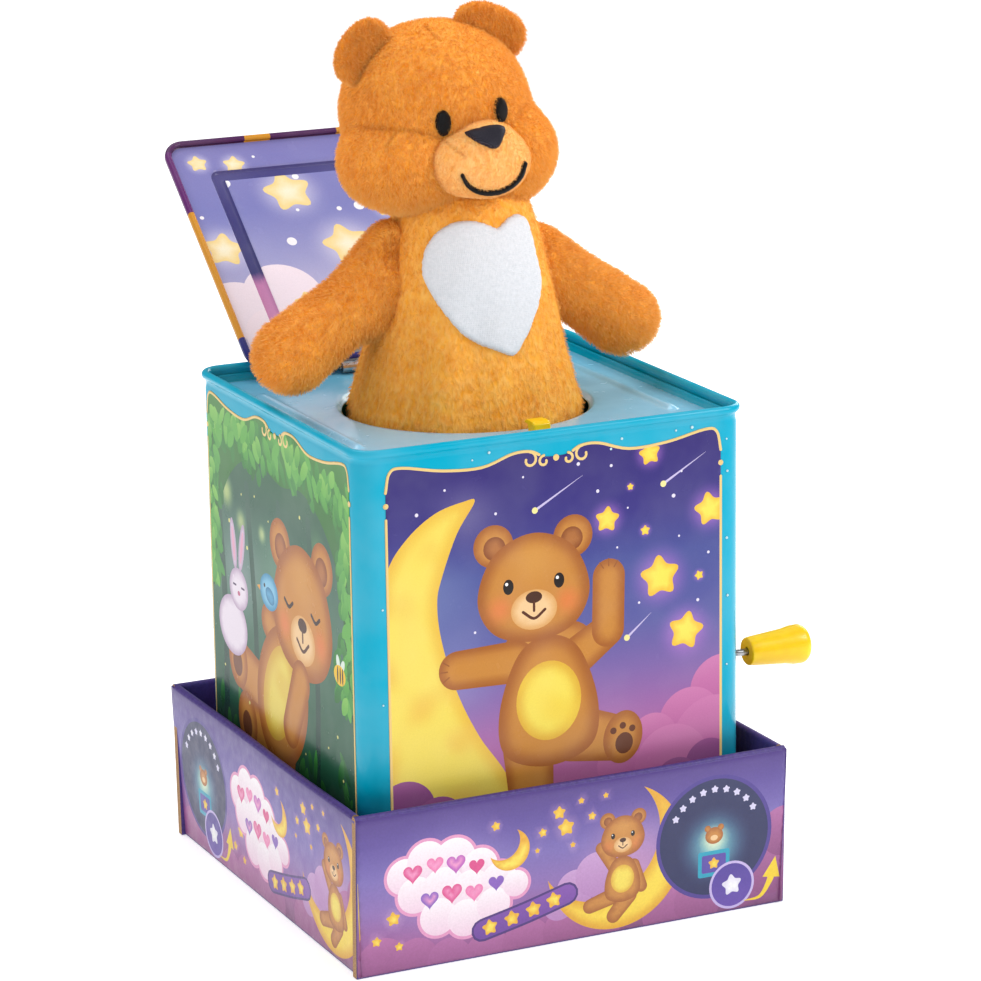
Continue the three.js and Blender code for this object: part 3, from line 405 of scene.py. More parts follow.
def rounded_rectangle(half_x, half_y, corner, inset=0.0, middle=(0, 0), steps=10, pieces=1):
    """Anticlockwise points of a rectangle with rounded corners, moved inwards by the inset. Each
    corner has the given number of steps and each straight side the given number of pieces."""
    radius = max(corner - inset, 0.3)
    corners = []
    for quarter, (sign_x, sign_y) in enumerate(((1, 1), (-1, 1), (-1, -1), (1, -1))):
        x = middle[0] + sign_x * (half_x - inset - radius)
        y = middle[1] + sign_y * (half_y - inset - radius)
        corners.append(np.array(arc(x, y, radius, 90 * quarter, 90 * quarter + 90, steps)))
    points = []
    for here, following in zip(corners, corners[1:] + corners[:1]):
        points += [here, np.linspace(here[-1], following[0], pieces + 1)[1:-1]]
    return np.vstack(points)


def band(profile, half_x, half_y, corner, middle=(0, 0), steps=10, pieces=1):
    """Points and faces of a closed profile of (inset, z) swept round a rounded rectangle."""
    loops = []
    for inset, z in profile:
        loop = rounded_rectangle(half_x, half_y, corner, inset, middle, steps, pieces)
        loops.append(np.column_stack([loop, np.full(len(loop), z)]))
    return np.vstack(loops), grid_faces(len(profile), len(loops[0]), close_rows=True)


def paint_corners(mesh, colours):
    """Writes sRGB colours, one for each face corner, as the attribute that the print materials read."""
    layer = mesh.color_attributes.new("print", "FLOAT_COLOR", "CORNER")
    values = np.column_stack([INK_STRENGTH * linear(colours), np.ones(len(colours))])
    layer.data.foreach_set("color", values.ravel())


def solidify(piece, thickness):
    """Gives a sheet its thickness, on the side away from its normals."""
    modifier = piece.modifiers.new("thickness", "SOLIDIFY")
    modifier.thickness = thickness * MM
    modifier.offset = -1
    modifier.use_even_offset = False


# ---------- Drawing ----------

def tilted(points, turn):
    """Flat points turned anticlockwise by an angle in degrees."""
    c, s = math.cos(math.radians(turn)), math.sin(math.radians(turn))
    return points @ np.array([[c, s], [-s, c]])


def ellipse(x, z, radius_x, radius_z=None, turn=0.0, count=36):
    radius_z = radius_x if radius_z is None else radius_z
    angle = np.linspace(0, 2 * np.pi, count, endpoint=False)
    return tilted(np.column_stack([radius_x * np.cos(angle), radius_z * np.sin(angle)]), turn) + (x, z)


def star(x, z, radius, turn=0.0):
    """A plump five-pointed star."""
    angle = np.linspace(0, 2 * np.pi, 50, endpoint=False)
    reach = radius * (0.86 + 0.17 * np.cos(5 * angle)) * (1 + 0.03 * np.cos(10 * angle))
    heading = angle + math.radians(90 + turn)
    return np.column_stack([x + reach * np.cos(heading), z + reach * np.sin(heading)])


def crescent(x, z, radius, open_angle, cut_radius, cut_shift):
    """A moon: a disc less another disc that is shifted towards the open angle."""
    cut_x = x + cut_shift * math.cos(math.radians(open_angle))
    cut_z = z + cut_shift * math.sin(math.radians(open_angle))
    near = (radius ** 2 - cut_radius ** 2 + cut_shift ** 2) / (2 * cut_shift)
    half = math.degrees(math.acos(near / radius))
    cut_half = math.degrees(math.acos((near - cut_shift) / cut_radius))
    outside = arc(x, z, radius, open_angle + half, open_angle + 360 - half, 60)
    inside = arc(cut_x, cut_z, cut_radius, open_angle + 360 - cut_half, open_angle + cut_half, 50)
    return np.array(outside + inside[1:-1])


def smooth_line(points, steps=8, closed=False):
    """A Catmull-Rom curve through the points."""
    knots = np.array(points, float)
    count = len(knots)
    spans = count if closed else count - 1
    curve = []
    for span in range(spans):
        if closed:
            a, b, c, d = (knots[(span + shift) % count] for shift in (-1, 0, 1, 2))
        else:
            b, c = knots[span], knots[span + 1]
            a = knots[span - 1] if span else 2 * b - c
            d = knots[span + 2] if span + 2 < count else 2 * c - b
        square = 2 * a - 5 * b + 4 * c - d
        cube = 3 * b - 3 * c + d - a
        for step in range(steps):
            t = step / steps
            curve.append(0.5 * (2 * b + (c - a) * t + square * t ** 2 + cube * t ** 3))
    if not closed:
        curve.append(knots[-1])
    return np.array(curve)


def stroke(line, width, taper=False):
    """The outline of a brush stroke along a line."""
    line = np.asarray(line, float)
    along = np.gradient(line, axis=0)
    along /= np.linalg.norm(along, axis=1, keepdims=True) + 1e-9
    side = np.column_stack([-along[:, 1], along[:, 0]])
    half = np.full(len(line), width / 2)
    if taper:
        half = half * np.linspace(1, 0.08, len(line))
    first, last = line[0], line[-1]
    turn = math.degrees(math.atan2(side[0][1], side[0][0]))
    start_cap = arc(*first, half[0], turn, turn + 180, 6)[1:-1]
    turn = math.degrees(math.atan2(-side[-1][1], -side[-1][0]))
    end_cap = arc(*last, half[-1], turn, turn + 180, 6)[1:-1]
    left, right = line + side * half[:, None], line - side * half[:, None]
    return np.vstack([left[::-1], start_cap, right, end_cap])


def limb(start, end, start_radius, end_radius):
    """The outline round two discs and the straight sides between them."""
    (x0, z0), (x1, z1) = start, end
    heading = math.degrees(math.atan2(z1 - z0, x1 - x0))
    lean = math.degrees(math.asin((start_radius - end_radius) / math.hypot(x1 - x0, z1 - z0)))
    return np.array(
        arc(x0, z0, start_radius, heading + 90 - lean, heading + 270 + lean, 16)
        + arc(x1, z1, end_radius, heading - 90 + lean, heading + 90 - lean, 16)
    )


def leaf(x, z, length, width, turn):
    along = np.linspace(0, np.pi, 9)
    upper = np.column_stack([length * (1 - np.cos(along)) / 2, width / 2 * np.sin(along) ** 1.3])
    lower = upper[::-1][1:-1] * (1, -1)
    return tilted(np.vstack([upper, lower]), turn) + (x, z)


def heart(x, z, width, height):
    angle = np.linspace(0, 2 * np.pi, 60, endpoint=False)
    across = np.sin(angle) ** 3
    up = 13 * np.cos(angle) - 5 * np.cos(2 * angle) - 2 * np.cos(3 * angle) - np.cos(4 * angle)
    up = (up + 2.5) / 14.5
    return np.column_stack([x + width / 2 * across, z + height / 2 * up])


def inside(points, outline):
    """Which of the points lie within the outline."""
    result = np.zeros(len(points), bool)
    low, high = outline.min(0), outline.max(0)
    near = np.where(((points >= low) & (points <= high)).all(1))[0]
    if len(near) == 0:
        return result
    x, z = points[near, 0][:, None], points[near, 1][:, None]
    ahead = np.roll(outline, -1, 0)
    x0, z0, x1, z1 = outline[:, 0], outline[:, 1], ahead[:, 0], ahead[:, 1]
    straddles = (z0 > z) != (z1 > z)
    with np.errstate(divide="ignore", invalid="ignore"):
        crossing = (x1 - x0) * (z - z0) / (z1 - z0) + x0
    result[near] = ((straddles & (x < crossing)).sum(1) % 2) == 1
    return result


def edge_distance(points, outline):
    start = outline[None]
    span = np.roll(outline, -1, 0)[None] - start
    reach = points[:, None] - start
    share = np.clip((reach * span).sum(-1) / np.maximum((span * span).sum(-1), 1e-12), 0, 1)
    return np.linalg.norm(reach - share[..., None] * span, axis=-1).min(1)


def smoothstep(value):
    value = np.clip(value, 0, 1)
    return value * value * (3 - 2 * value)


def blot(points, size, seed):
    """Soft noise from 0 to 1 for brushwork."""
    return np.array([0.5 + 0.5 * noise.noise((x / size, z / size, seed)) for x, z in points])


def split_edges(outline, longest):
    """The same outline with extra points, so that no edge is longer than asked."""
    pieces = []
    for start, end in zip(outline, np.roll(outline, -1, 0)):
        count = max(1, math.ceil(np.linalg.norm(end - start) / longest))
        pieces.append(start + (end - start) * np.arange(count)[:, None] / count)
    return np.vstack(pieces)


# Painters take points and give their sRGB colours.

def flat(code):
    return lambda points: np.tile(srgb(code), (len(points), 1))


def fade(stops, axis=1):
    """Colours by height (or by the other axis), from (place, colour) stops in rising order."""
    places = [place for place, _ in stops]
    colours = np.array([srgb(code) for _, code in stops])

    def paint(points):
        level = points[:, axis]
        return np.column_stack([np.interp(level, places, channel) for channel in colours.T])
    return paint


def rounded(outline, edge, middle, width, patch=None, seed=0.0):
    """Airbrushed: the edge colour turns into the middle colour over the width; a patch colour mottles it."""
    def paint(points):
        share = smoothstep(edge_distance(points, outline) / width)[:, None]
        colours = srgb(edge) * (1 - share) + srgb(middle) * share
        if patch:
            mottle = smoothstep((blot(points, 14, seed) - 0.45) * 3)[:, None] * 0.6
            colours = colours * (1 - mottle) + srgb(patch) * mottle
        return colours
    return paint


def with_glows(paint, glows):
    """Adds soft lights, each (x, z, radius, colour, strength), to a painter."""
    def lit(points):
        colours = paint(points)
        for x, z, radius, code, strength in glows:
            away = np.hypot(points[:, 0] - x, points[:, 1] - z)
            share = (strength * smoothstep(1 - away / radius))[:, None]
            colours = colours * (1 - share) + srgb(code) * share
        return colours
    return lit


class Picture:
    """Outlines laid over one another on a flat panel; a point takes the colour of the topmost one.
    The first outline is the panel. A free outline may lie outside it, and one with no paint is a hole."""

    def __init__(self, panel, paint):
        self.layers = [(np.asarray(panel, float), paint, True)]
        self.guides = []

    def lay(self, outline, paint, free=False):
        if isinstance(paint, str):
            paint = flat(paint)
        self.layers.append((np.asarray(outline, float), paint, free))

    def soft(self, outline, edge, middle, width, **mottle):
        self.lay(outline, rounded(np.asarray(outline, float), edge, middle, width, **mottle))

    def fur(self, outline, width):
        self.soft(outline, BEAR_EDGE, BEAR_MIDDLE, width)

    def backdrop(self, paint):
        self.layers[0] = (self.layers[0][0], paint, True)

    def stars(self, places, edge, middle, softness, size=1.0):
        """Stars at (x, z, radius, turn) places."""
        for x, z, radius, turn in places:
            self.soft(star(x, z, size * radius, turn), edge, middle, radius * softness)

    def frame(self, outer, inner, paint):
        """A closed strip between two outlines with the same start."""
        self.lay(np.vstack([outer, outer[:1], inner[:1], inner[::-1]]), paint)

    def guide(self, outline):
        """A line that the triangles follow, where the sheet is pressed."""
        self.guides.append(np.asarray(outline, float))

    def rings(self, x, z, radius):
        """Points round a light, so that its falloff is smooth."""
        for share in (0.3, 0.5, 0.7, 0.85, 1.0):
            self.guide(ellipse(x, z, radius * share, count=14))

    def build(self, name, to_space, material, body, slot, spacing, thickness, stands_for=()):
        """Cuts the panel into triangles along every outline and sets it in space."""
        points, edges = [], []
        for outline in [layer[0] for layer in self.layers] + self.guides:
            first = len(points)
            outline = split_edges(outline, spacing)
            points.extend(outline.tolist())
            edges.extend((first + i, first + (i + 1) % len(outline)) for i in range(len(outline)))
        panel = self.layers[0][0]
        low, high = panel.min(0), panel.max(0)
        for row, z in enumerate(np.arange(low[1] + spacing / 2, high[1], spacing)):
            for x in np.arange(low[0] + spacing / (2 if row % 2 else 1), high[0], spacing):
                points.append((x, z))
        solved = delaunay_2d_cdt([Vector(point) for point in points], edges, [], 0, 1e-5)
        flat_points = np.array([tuple(point) for point in solved[0]])
        faces = np.array(solved[2])
        middles = flat_points[faces].mean(1)
        in_panel = inside(middles, panel)
        owner = np.full(len(faces), -1)
        for number, (outline, _, free) in enumerate(self.layers):
            hit = inside(middles, outline)
            owner[hit if free else hit & in_panel] = number
        corners = flat_points[faces]
        shape = corners[:, 1] - corners[:, 0], corners[:, 2] - corners[:, 0]
        area = shape[0][:, 0] * shape[1][:, 1] - shape[0][:, 1] * shape[1][:, 0]
        painted = [number >= 0 and self.layers[number][1] is not None for number in owner]
        kept = np.where(np.array(painted) & (np.abs(area) > 1e-7))[0]
        faces, owner = faces[kept], owner[kept]
        colours = np.zeros((len(faces), 3, 3))
        for number in np.unique(owner):
            chosen = np.where(owner == number)[0]
            corners = flat_points[faces[chosen]].reshape(-1, 2)
            colours[chosen] = self.layers[number][1](corners).reshape(-1, 3, 3)
        used, faces = np.unique(faces, return_inverse=True)
        faces = faces.reshape(-1, 3)
        mesh = bpy.data.meshes.new(name)
        mesh.from_pydata((to_space(flat_points[used]) * MM).tolist(), [], faces.tolist())
        mesh.materials.append(material)
        paint_corners(mesh, colours.reshape(-1, 3))
        mesh.shade_smooth()
        mesh.set_sharp_from_angle(angle=math.radians(50))
        piece = add_object(name, mesh, body, stands_for)
        solidify(piece, thickness)
        return piece


# ---------- Printed scenes ----------

GOLD = "#f2cf86"
STAR_HALO = "#c87fd8"
BEAR_EDGE, BEAR_MIDDLE, BEAR_LIGHT = "#a6602a", "#cc8a3e", "#dea356"


def curl(picture, x, z, size, hand):
    """A small spiral, wound to the left (-1) or the right (1)."""
    turn = np.linspace(0, 1.55 * np.pi, 12)
    reach = size * (1 - 0.55 * turn / turn[-1])
    line = np.column_stack([x + hand * reach * np.cos(turn + np.pi / 2),
                            z + reach * np.sin(turn + np.pi / 2) - size])
    picture.lay(stroke(line, 0.9), GOLD, free=True)


def scalloped_panel(half, bottom, top):
    """The outline inside the gold frame: straight sides and a top edge that swells towards the middle."""
    right = [(half, top - 8), (half - 1.5, top - 1.6), (half - 6, top - 0.4), (half - 20, top - 3),
             (half - 34, top - 3.6)]
    right += [(half - 45, top - 0.4), (9, top - 0.4), (4, top - 2.6)]
    left = [(-x, z) for x, z in right[::-1]]
    edge = smooth_line(right + left, 5)
    return np.vstack([[(half, bottom)], edge, [(-half, bottom)]]), edge


def gold_frame(picture, half, bottom, top, edge):
    middle = len(edge) // 2
    gap = 4
    picture.lay(stroke(edge[:middle - gap], 0.95), GOLD, free=True)
    picture.lay(stroke(edge[middle + gap:], 0.95), GOLD, free=True)
    for hand in (-1, 1):
        curl(picture, hand * 9.6, top - 0.4, 2.8, hand)
        curl(picture, hand * 4.4, top - 2.2, 1.9, -hand)
        picture.lay(stroke([(hand * half, top - 17), (hand * half, bottom)], 0.9), GOLD, free=True)
        picture.lay(ellipse(hand * half, top - 12.4, 0.95, count=14), GOLD, free=True)
    picture.lay(ellipse(0, top - 3.4, 1.1, count=14), GOLD, free=True)


def specks(picture, places, code, sizes=(0.35, 0.7), free=False):
    for x, z in places:
        picture.lay(ellipse(x, z, random_numbers.uniform(*sizes), count=10), code, free=free)


def shooting_star(picture, head, tail, code="#cfc3ea"):
    line = np.linspace(head, tail, 10)
    picture.lay(stroke(line, 0.9, taper=True), code)
    picture.lay(ellipse(*head, 1.1, count=14), "#f7eb9e")


def cloud(picture, discs, edge, middle):
    for x, z, radius in discs:
        picture.lay(ellipse(x, z, radius, count=40), fade([(z - radius, edge), (z + radius, middle)]))


def placer(x, z, size):
    """Turns (across, up), in sizes from a middle, into a place on the picture."""
    return lambda across, up: (x + across * size, z + up * size)


def bear_head(picture, x, z, size, asleep=False):
    """A plain teddy's face: round ears, oval snout, dot eyes and a small smile."""
    at = placer(x, z, size)
    for side in (-1, 1):
        picture.fur(ellipse(*at(side * 0.72, 0.78), 0.36 * size, count=28), 0.16 * size)
        inner = ellipse(*at(side * 0.7, 0.74), 0.2 * size, count=20)
        picture.soft(inner, "#8a4a22", "#b4713a", 0.12 * size)
    half = [at(0.72, 0.62), at(1.02, -0.12), at(0.72, -0.72)]
    other_half = [at(-0.72, -0.72), at(-1.02, -0.12), at(-0.72, 0.62)]
    skull = smooth_line([at(0, 0.92), *half, at(0, -0.92), *other_half], 7, closed=True)
    glows = [(*at(side * 0.62, -0.3), 0.34 * size, "#ea7f48", 0.75) for side in (-1, 1)]
    glows.append((*at(0, 0.45), 0.6 * size, BEAR_LIGHT, 0.55))
    picture.lay(skull, with_glows(rounded(skull, BEAR_EDGE, BEAR_MIDDLE, 0.3 * size), glows))
    snout = ellipse(*at(0, -0.38), 0.42 * size, 0.34 * size, count=32)
    picture.soft(snout, "#e0a763", "#f4cb96", 0.14 * size)
    picture.lay(ellipse(*at(0, -0.17), 0.15 * size, 0.1 * size, count=20), "#4a2616")
    picture.lay(stroke(smooth_line([at(0, -0.26), at(0, -0.4)], 3), 0.045 * size), "#5a2e1a")
    smile = smooth_line([at(-0.2, -0.4), at(0, -0.53), at(0.2, -0.4)], 5)
    picture.lay(stroke(smile, 0.05 * size), "#5a2e1a")
    for eye in (-0.46, 0.46):
        if asleep:
            lid = smooth_line([at(eye - 0.14, 0.06), at(eye, -0.02), at(eye + 0.14, 0.06)], 5)
            picture.lay(stroke(lid, 0.055 * size), "#3a1d12")
        else:
            picture.lay(ellipse(*at(eye, 0.06), 0.095 * size, 0.13 * size, count=20), "#1d1210")
            picture.lay(ellipse(*at(eye - 0.03, 0.11), 0.03 * size, count=8), "#ffffff")


def draw_limbs(picture, at, size, limbs):
    """Limbs are (start, end, start radius, end radius), in sizes."""
    for start, end, start_radius, end_radius in limbs:
        picture.fur(limb(at(*start), at(*end), start_radius * size, end_radius * size), 0.2 * size)


def bear_body(picture, x, z, size, limbs):
    """A teddy's body with its limbs, measured in head sizes from the middle of the body."""
    at = placer(x, z, size)
    draw_limbs(picture, at, size, limbs)
    right = [(0.5, 0.75), (0.82, -0.1), (0.72, -0.8)]
    left = [(-across, up) for across, up in right[::-1]]
    body = smooth_line([at(*place) for place in [(0, 1.0), *right, (0, -1.05), *left]], 7, closed=True)
    picture.fur(body, 0.3 * size)
    tummy = ellipse(*at(0, -0.02), 0.54 * size, 0.62 * size, count=36)
    picture.soft(tummy, "#e3b33c", "#f7e05c", 0.22 * size, patch="#f4d24a")


def sleeping_bear(picture, x, z, size):
    """A teddy leaning back asleep, its body to the lower left of its head."""
    at = placer(x, z, size)
    draw_limbs(picture, at, size, [((-1.1, -1.6), (-2.3, -1.3), 0.4, 0.36),
                                   ((-0.8, -2.2), (-2.0, -2.1), 0.42, 0.38),
                                   ((-0.6, -0.8), (-1.2, -0.42), 0.28, 0.26)])
    picture.fur(ellipse(*at(-0.78, -1.38), 0.86 * size, 1.08 * size, -28, 48), 0.3 * size)
    tummy = ellipse(*at(-0.9, -1.36), 0.5 * size, 0.76 * size, -28, 40)
    picture.soft(tummy, "#d8ab3c", "#efd760", 0.3 * size, patch="#e2bd4a")
    for across, up in ((-2.38, -1.26), (-2.08, -2.08)):
        picture.fur(ellipse(*at(across, up), 0.34 * size, 0.42 * size, 10), 0.2 * size)
        picture.lay(ellipse(*at(across - 0.02, up - 0.06), 0.17 * size, 0.2 * size, 10, 18), "#7a4526")
    bear_head(picture, x, z, size, asleep=True)
    picture.fur(limb(at(-0.1, -0.98), at(-0.5, -1.75), 0.3 * size, 0.27 * size), 0.18 * size)


def rabbit(picture, x, z, size):
    at = placer(x, z, size)
    fur = ("#bfa6c2", "#efe3f0", 0.25 * size)
    picture.soft(ellipse(*at(-0.5, -1.15), 1.05 * size, 0.85 * size), *fur)
    for side, turn in ((-1, 8), (1, -14)):
        picture.soft(ellipse(*at(side * 0.3, 1.25), 0.2 * size, 0.72 * size, turn), *fur)
        picture.lay(ellipse(*at(side * 0.3, 1.25), 0.09 * size, 0.5 * size, turn, 20), "#e6a9c4")
    picture.soft(ellipse(x, z, 0.68 * size, 0.6 * size), *fur)
    picture.lay(ellipse(*at(0, -0.12), 0.1 * size, 0.07 * size, count=12), "#c46a8c")
    for eye in (-0.3, 0.3):
        picture.lay(stroke(np.linspace(at(eye - 0.1, 0.08), at(eye + 0.1, 0.08), 4), 0.06 * size),
                    "#5a4668")


def bird(picture, x, z, size):
    at = placer(x, z, size)
    picture.soft(ellipse(x, z, size, 0.8 * size), "#3d8fb8", "#86c6e6", 0.4 * size)
    picture.soft(ellipse(*at(0.1, -0.15), 0.5 * size, 0.34 * size, -20), "#2f7aa6", "#5aa9d2", 0.2 * size)
    picture.lay([at(-1, 0.1), at(-1.35, 0), at(-1, -0.15)], "#f0a63a")
    picture.lay(ellipse(*at(-0.5, 0.2), 0.1 * size, count=10), "#1c2836")


def bee(picture, x, z, size):
    at = placer(x, z, size)
    for turn in (55, 105):
        tip = at(0.9 * math.cos(math.radians(turn)), 0.9 * math.sin(math.radians(turn)))
        picture.lay(ellipse(*tip, 0.55 * size, 0.3 * size, turn, 18), "#dfeee2")
    picture.lay(ellipse(x, z, size, 0.72 * size, count=28), "#f4c430")
    for shift in (-0.35, 0.1, 0.5):
        picture.lay(ellipse(*at(shift, 0), 0.11 * size, 0.62 * size, count=14), "#38261a")


def night_picture(with_bear):
    """A night sky over pink clouds, with a big moon, stars and, on the front, a waving teddy."""
    half, bottom, top = TIN_HALF - 9.2, TIN_BOTTOM + 4, TIN_TOP - 6.4
    panel, edge = scalloped_panel(half, bottom, top)
    sky = fade([(56, "#b9689f"), (72, "#a86cab"), (88, "#8268aa"), (104, "#5f60a2"), (126, "#4c5499"),
                (142, "#3e3784"), (166, "#392e76")])
    picture = Picture(panel, None)
    # The moon is so big that the frame hides its round back.
    moon_back = [(-29.4, 152.0), (-33.5, 152.4), (-43.7, 149.6), (-53.7, 142.4), (-61, 132), (-66, 112),
                 (-69, 84), (-68, 56), (-50, 40), (-14, 42)]
    moon_hollow = [(-19.1, 57.5), (-29.1, 72.6), (-36.9, 89.1), (-42, 107), (-43.3, 119.5), (-41.6, 127.7),
                   (-35.9, 142)]
    moon = smooth_line(moon_back + moon_hollow, 6, closed=True)
    glows = [(-46, 120, 30, "#8fa3c9", 0.35), (-33, 148, 16, "#a9a4b8", 0.4), (-36, 92, 24, "#9aa0cf", 0.4)]
    stars = [(34.2, 160.4, 3.6, 8), (37.8, 118, 6.6, 4), (47.4, 98, 6.0, -12), (56.5, 139, 5.2, 10),
             (18.4, 140, 4.0, -6), (32.4, 134.5, 1.6, 0), (52.5, 116.5, 1.5, 20), (27, 150, 1.1, 0)]
    for x, z, radius, _ in stars:
        glows.append((x, z, radius * 2.0, STAR_HALO, 0.8))
        picture.rings(x, z, radius * 2.0)
    picture.backdrop(with_glows(sky, glows))
    picture.soft(moon, "#eec14a", "#f6de63", 6, patch="#ecb34a", seed=3.0)
    cloud(picture, [(61, 76, 12), (49, 66, 12), (35, 62, 9), (58, 58, 16), (22, 55, 8), (42, 52, 14)],
          "#b7609b", "#d07fb2")
    cloud(picture, [(-56, 50, 11), (-44, 44, 10), (56, 50, 9), (44, 45, 9), (10, 42, 9), (-20, 40, 8)],
          "#7d3f80", "#a05a94")
    picture.stars(stars, "#f4c044", "#fbe65c", 0.4, 1.06)
    for head, tail in (((-7.9, 146.3), (9.5, 156)), ((39.2, 149.5), (55, 158.5)),
                       ((25.4, 98.5), (34.5, 106))):
        shooting_star(picture, head, tail)
    places = [(-40, 157), (-22, 147), (-12, 158), (20, 158), (5, 128), (22, 130), (45, 131), (43, 145),
              (15, 150), (56, 124), (52, 108), (30, 110), (-30, 108), (-28, 96), (46, 153), (8, 160),
              (-50, 150), (26, 143)]
    specks(picture, places, "#e9e2f4")
    if with_bear:
        x, z, size = -3.6, 81.5, 22
        at = placer(x, z, size)
        bear_body(picture, x, z, size, [
            ((-0.35, 0.75), (0.35, 0.75), 0.42, 0.42), ((-0.55, 0.66), (-1.5, 0.66), 0.33, 0.3),
            ((0.5, 0.62), (1.0, 0.95), 0.31, 0.27), ((1.0, 0.95), (1.02, 1.78), 0.27, 0.27),
            ((-0.35, -0.7), (-0.3, -1.6), 0.42, 0.36), ((0.4, -0.6), (1.12, -0.78), 0.44, 0.36),
        ])
        picture.fur(ellipse(*at(1.24, -0.78), 0.33 * size, 0.42 * size, -12), 0.2 * size)
        picture.lay(ellipse(*at(1.26, -0.88), 0.15 * size, 0.17 * size, -12, 20), "#6b3a22")
        for shift in (-0.16, 0.0, 0.16):
            picture.lay(ellipse(*at(1.24 + shift, -0.6 - abs(shift) * 0.4), 0.055 * size, count=12),
                        "#6b3a22")
        for hand, heading in (((-1.5, 0.66), 180), ((1.02, 1.78), 90)):
            for spread in (-34, 0, 34):
                angle = math.radians(heading + spread)
                way = np.array([math.cos(angle), math.sin(angle)])
                knuckle = np.array([x, z]) + size * (np.array(hand) + 0.16 * way)
                picture.lay(stroke(np.linspace(knuckle, knuckle + 0.11 * size * way, 3), 0.45), "#9a5a2a")
        bear_head(picture, -8.6, 120.5, 20)
    gold_frame(picture, half, bottom, top, edge)
    margin = [(-62.5, 120), (-63, 88), (63.2, 151), (63, 128), (63.3, 108), (63, 84), (-24, 167.6),
              (24, 166.6), (20, 163.6), (44, 167), (50, 167.4), (-30, 165.8), (62.9, 162)]
    specks(picture, margin, "#cdeef4", (0.3, 0.55), free=True)
    return picture


def glade_picture():
    """An arch of leaves over a dark glade with lights, a sleeping teddy, a rabbit, a bird and a bee."""
    half, bottom, top = TIN_HALF - 7.8, TIN_BOTTOM + 4, TIN_TOP - 6.2
    panel, edge = scalloped_panel(half, bottom, top)
    deep = fade([(40, "#1c4a38"), (70, "#2a5f46"), (105, "#4a7560"), (135, "#2f5f4c"), (165, "#2e6b3c")])
    lights = [(-46, 134, 8, "#dbe68e", 0.8), (-33, 126, 6, "#d9e38c", 0.8),
              (-14, 126, 4.5, "#e9ec9c", 0.85),
              (-34, 108, 28, "#93a2a8", 0.65), (-4, 116, 24, "#6f9a84", 0.55),
              (34, 132, 10, "#7fae6a", 0.4)]
    picture = Picture(panel, with_glows(deep, lights))
    for x, z, radius, _, _ in lights[:3]:
        picture.rings(x, z, radius)
    for trunk, width in ((-52, 5), (-24, 4), (4, 3.5), (30, 4)):
        line = smooth_line([(trunk, 48), (trunk + 2, 90), (trunk - 3, 140)], 5)
        picture.lay(stroke(line, width), fade([(48, "#1f4238"), (140, "#35604f")]))
    greens = ["#23682a", "#2f8034", "#43953a", "#5fae45", "#86c455"]
    arch = [(-half, 100), (-half, top), (half, top), (half, 84), (half - 5, 96), (half - 9, 124),
            (half - 22, 141), (22, 149), (4, 147), (-18, 151), (-38, 144), (-half + 10, 128),
            (-half + 6, 108)]
    picture.lay(smooth_line(arch, 5, closed=True),
                fade([(84, "#1f5426"), (130, "#276b2a"), (168, "#3f8631")]))
    for depth, count in ((0, 120), (1, 130), (2, 100)):
        for _ in range(count):
            share = random_numbers.uniform(0, 1)
            inward = random_numbers.uniform(0, 1) * (16 - 4 * depth)
            if share < 0.2:
                x, z = -half + inward * 0.7, random_numbers.uniform(104, 160)
            elif share > 0.72:
                x, z = half - inward * 0.8, random_numbers.uniform(86, 160)
            else:
                x = random_numbers.uniform(-half, half)
                z = top - inward - 4 * abs(x / half)
            hang = -90 + random_numbers.uniform(-50, 50)
            outline = leaf(x, z, random_numbers.uniform(6, 10), random_numbers.uniform(3.2, 5.0), hang)
            low = greens[min(depth + random_numbers.integers(0, 2), 3)]
            high = greens[min(depth + 1 + random_numbers.integers(0, 2), 4)]
            picture.lay(outline, fade([(z - 9, low), (z, high)]))
    for _ in range(34):
        x, z = random_numbers.uniform(-half, half), random_numbers.uniform(38, 58)
        outline = leaf(x, z, random_numbers.uniform(8, 14), random_numbers.uniform(3, 5),
                       90 + random_numbers.uniform(-40, 40))
        picture.lay(outline, fade([(z, "#174a2c"), (z + 12, "#3f8a3e")]))
    sleeping_bear(picture, 20, 107, 25)
    rabbit(picture, -37, 101, 12.5)
    bird(picture, -9, 107, 8)
    bee(picture, 51, 94, 4.8)
    specks(picture, [(-32, 136), (-44, 124), (-20, 138), (-8, 132), (-28, 118), (20, 140), (40, 66),
                     (20, 58), (-30, 62), (48, 72), (52, 58), (-52, 70)], "#e8e48a", (0.4, 0.8))
    gold_frame(picture, half, bottom, top, edge)
    return picture


def on_side(side, across, out, up):
    """Places across a side of the box, seen from outside, at a distance out from its middle."""
    turn = math.radians(SIDE_TURNS[side])
    c, s = math.cos(turn), math.sin(turn)
    return np.column_stack([across * c + out * s, across * s - out * c, up])


# ---------- Tin box ----------

PRINT_LIFT = 0.16                   # how far a print stands off the tin


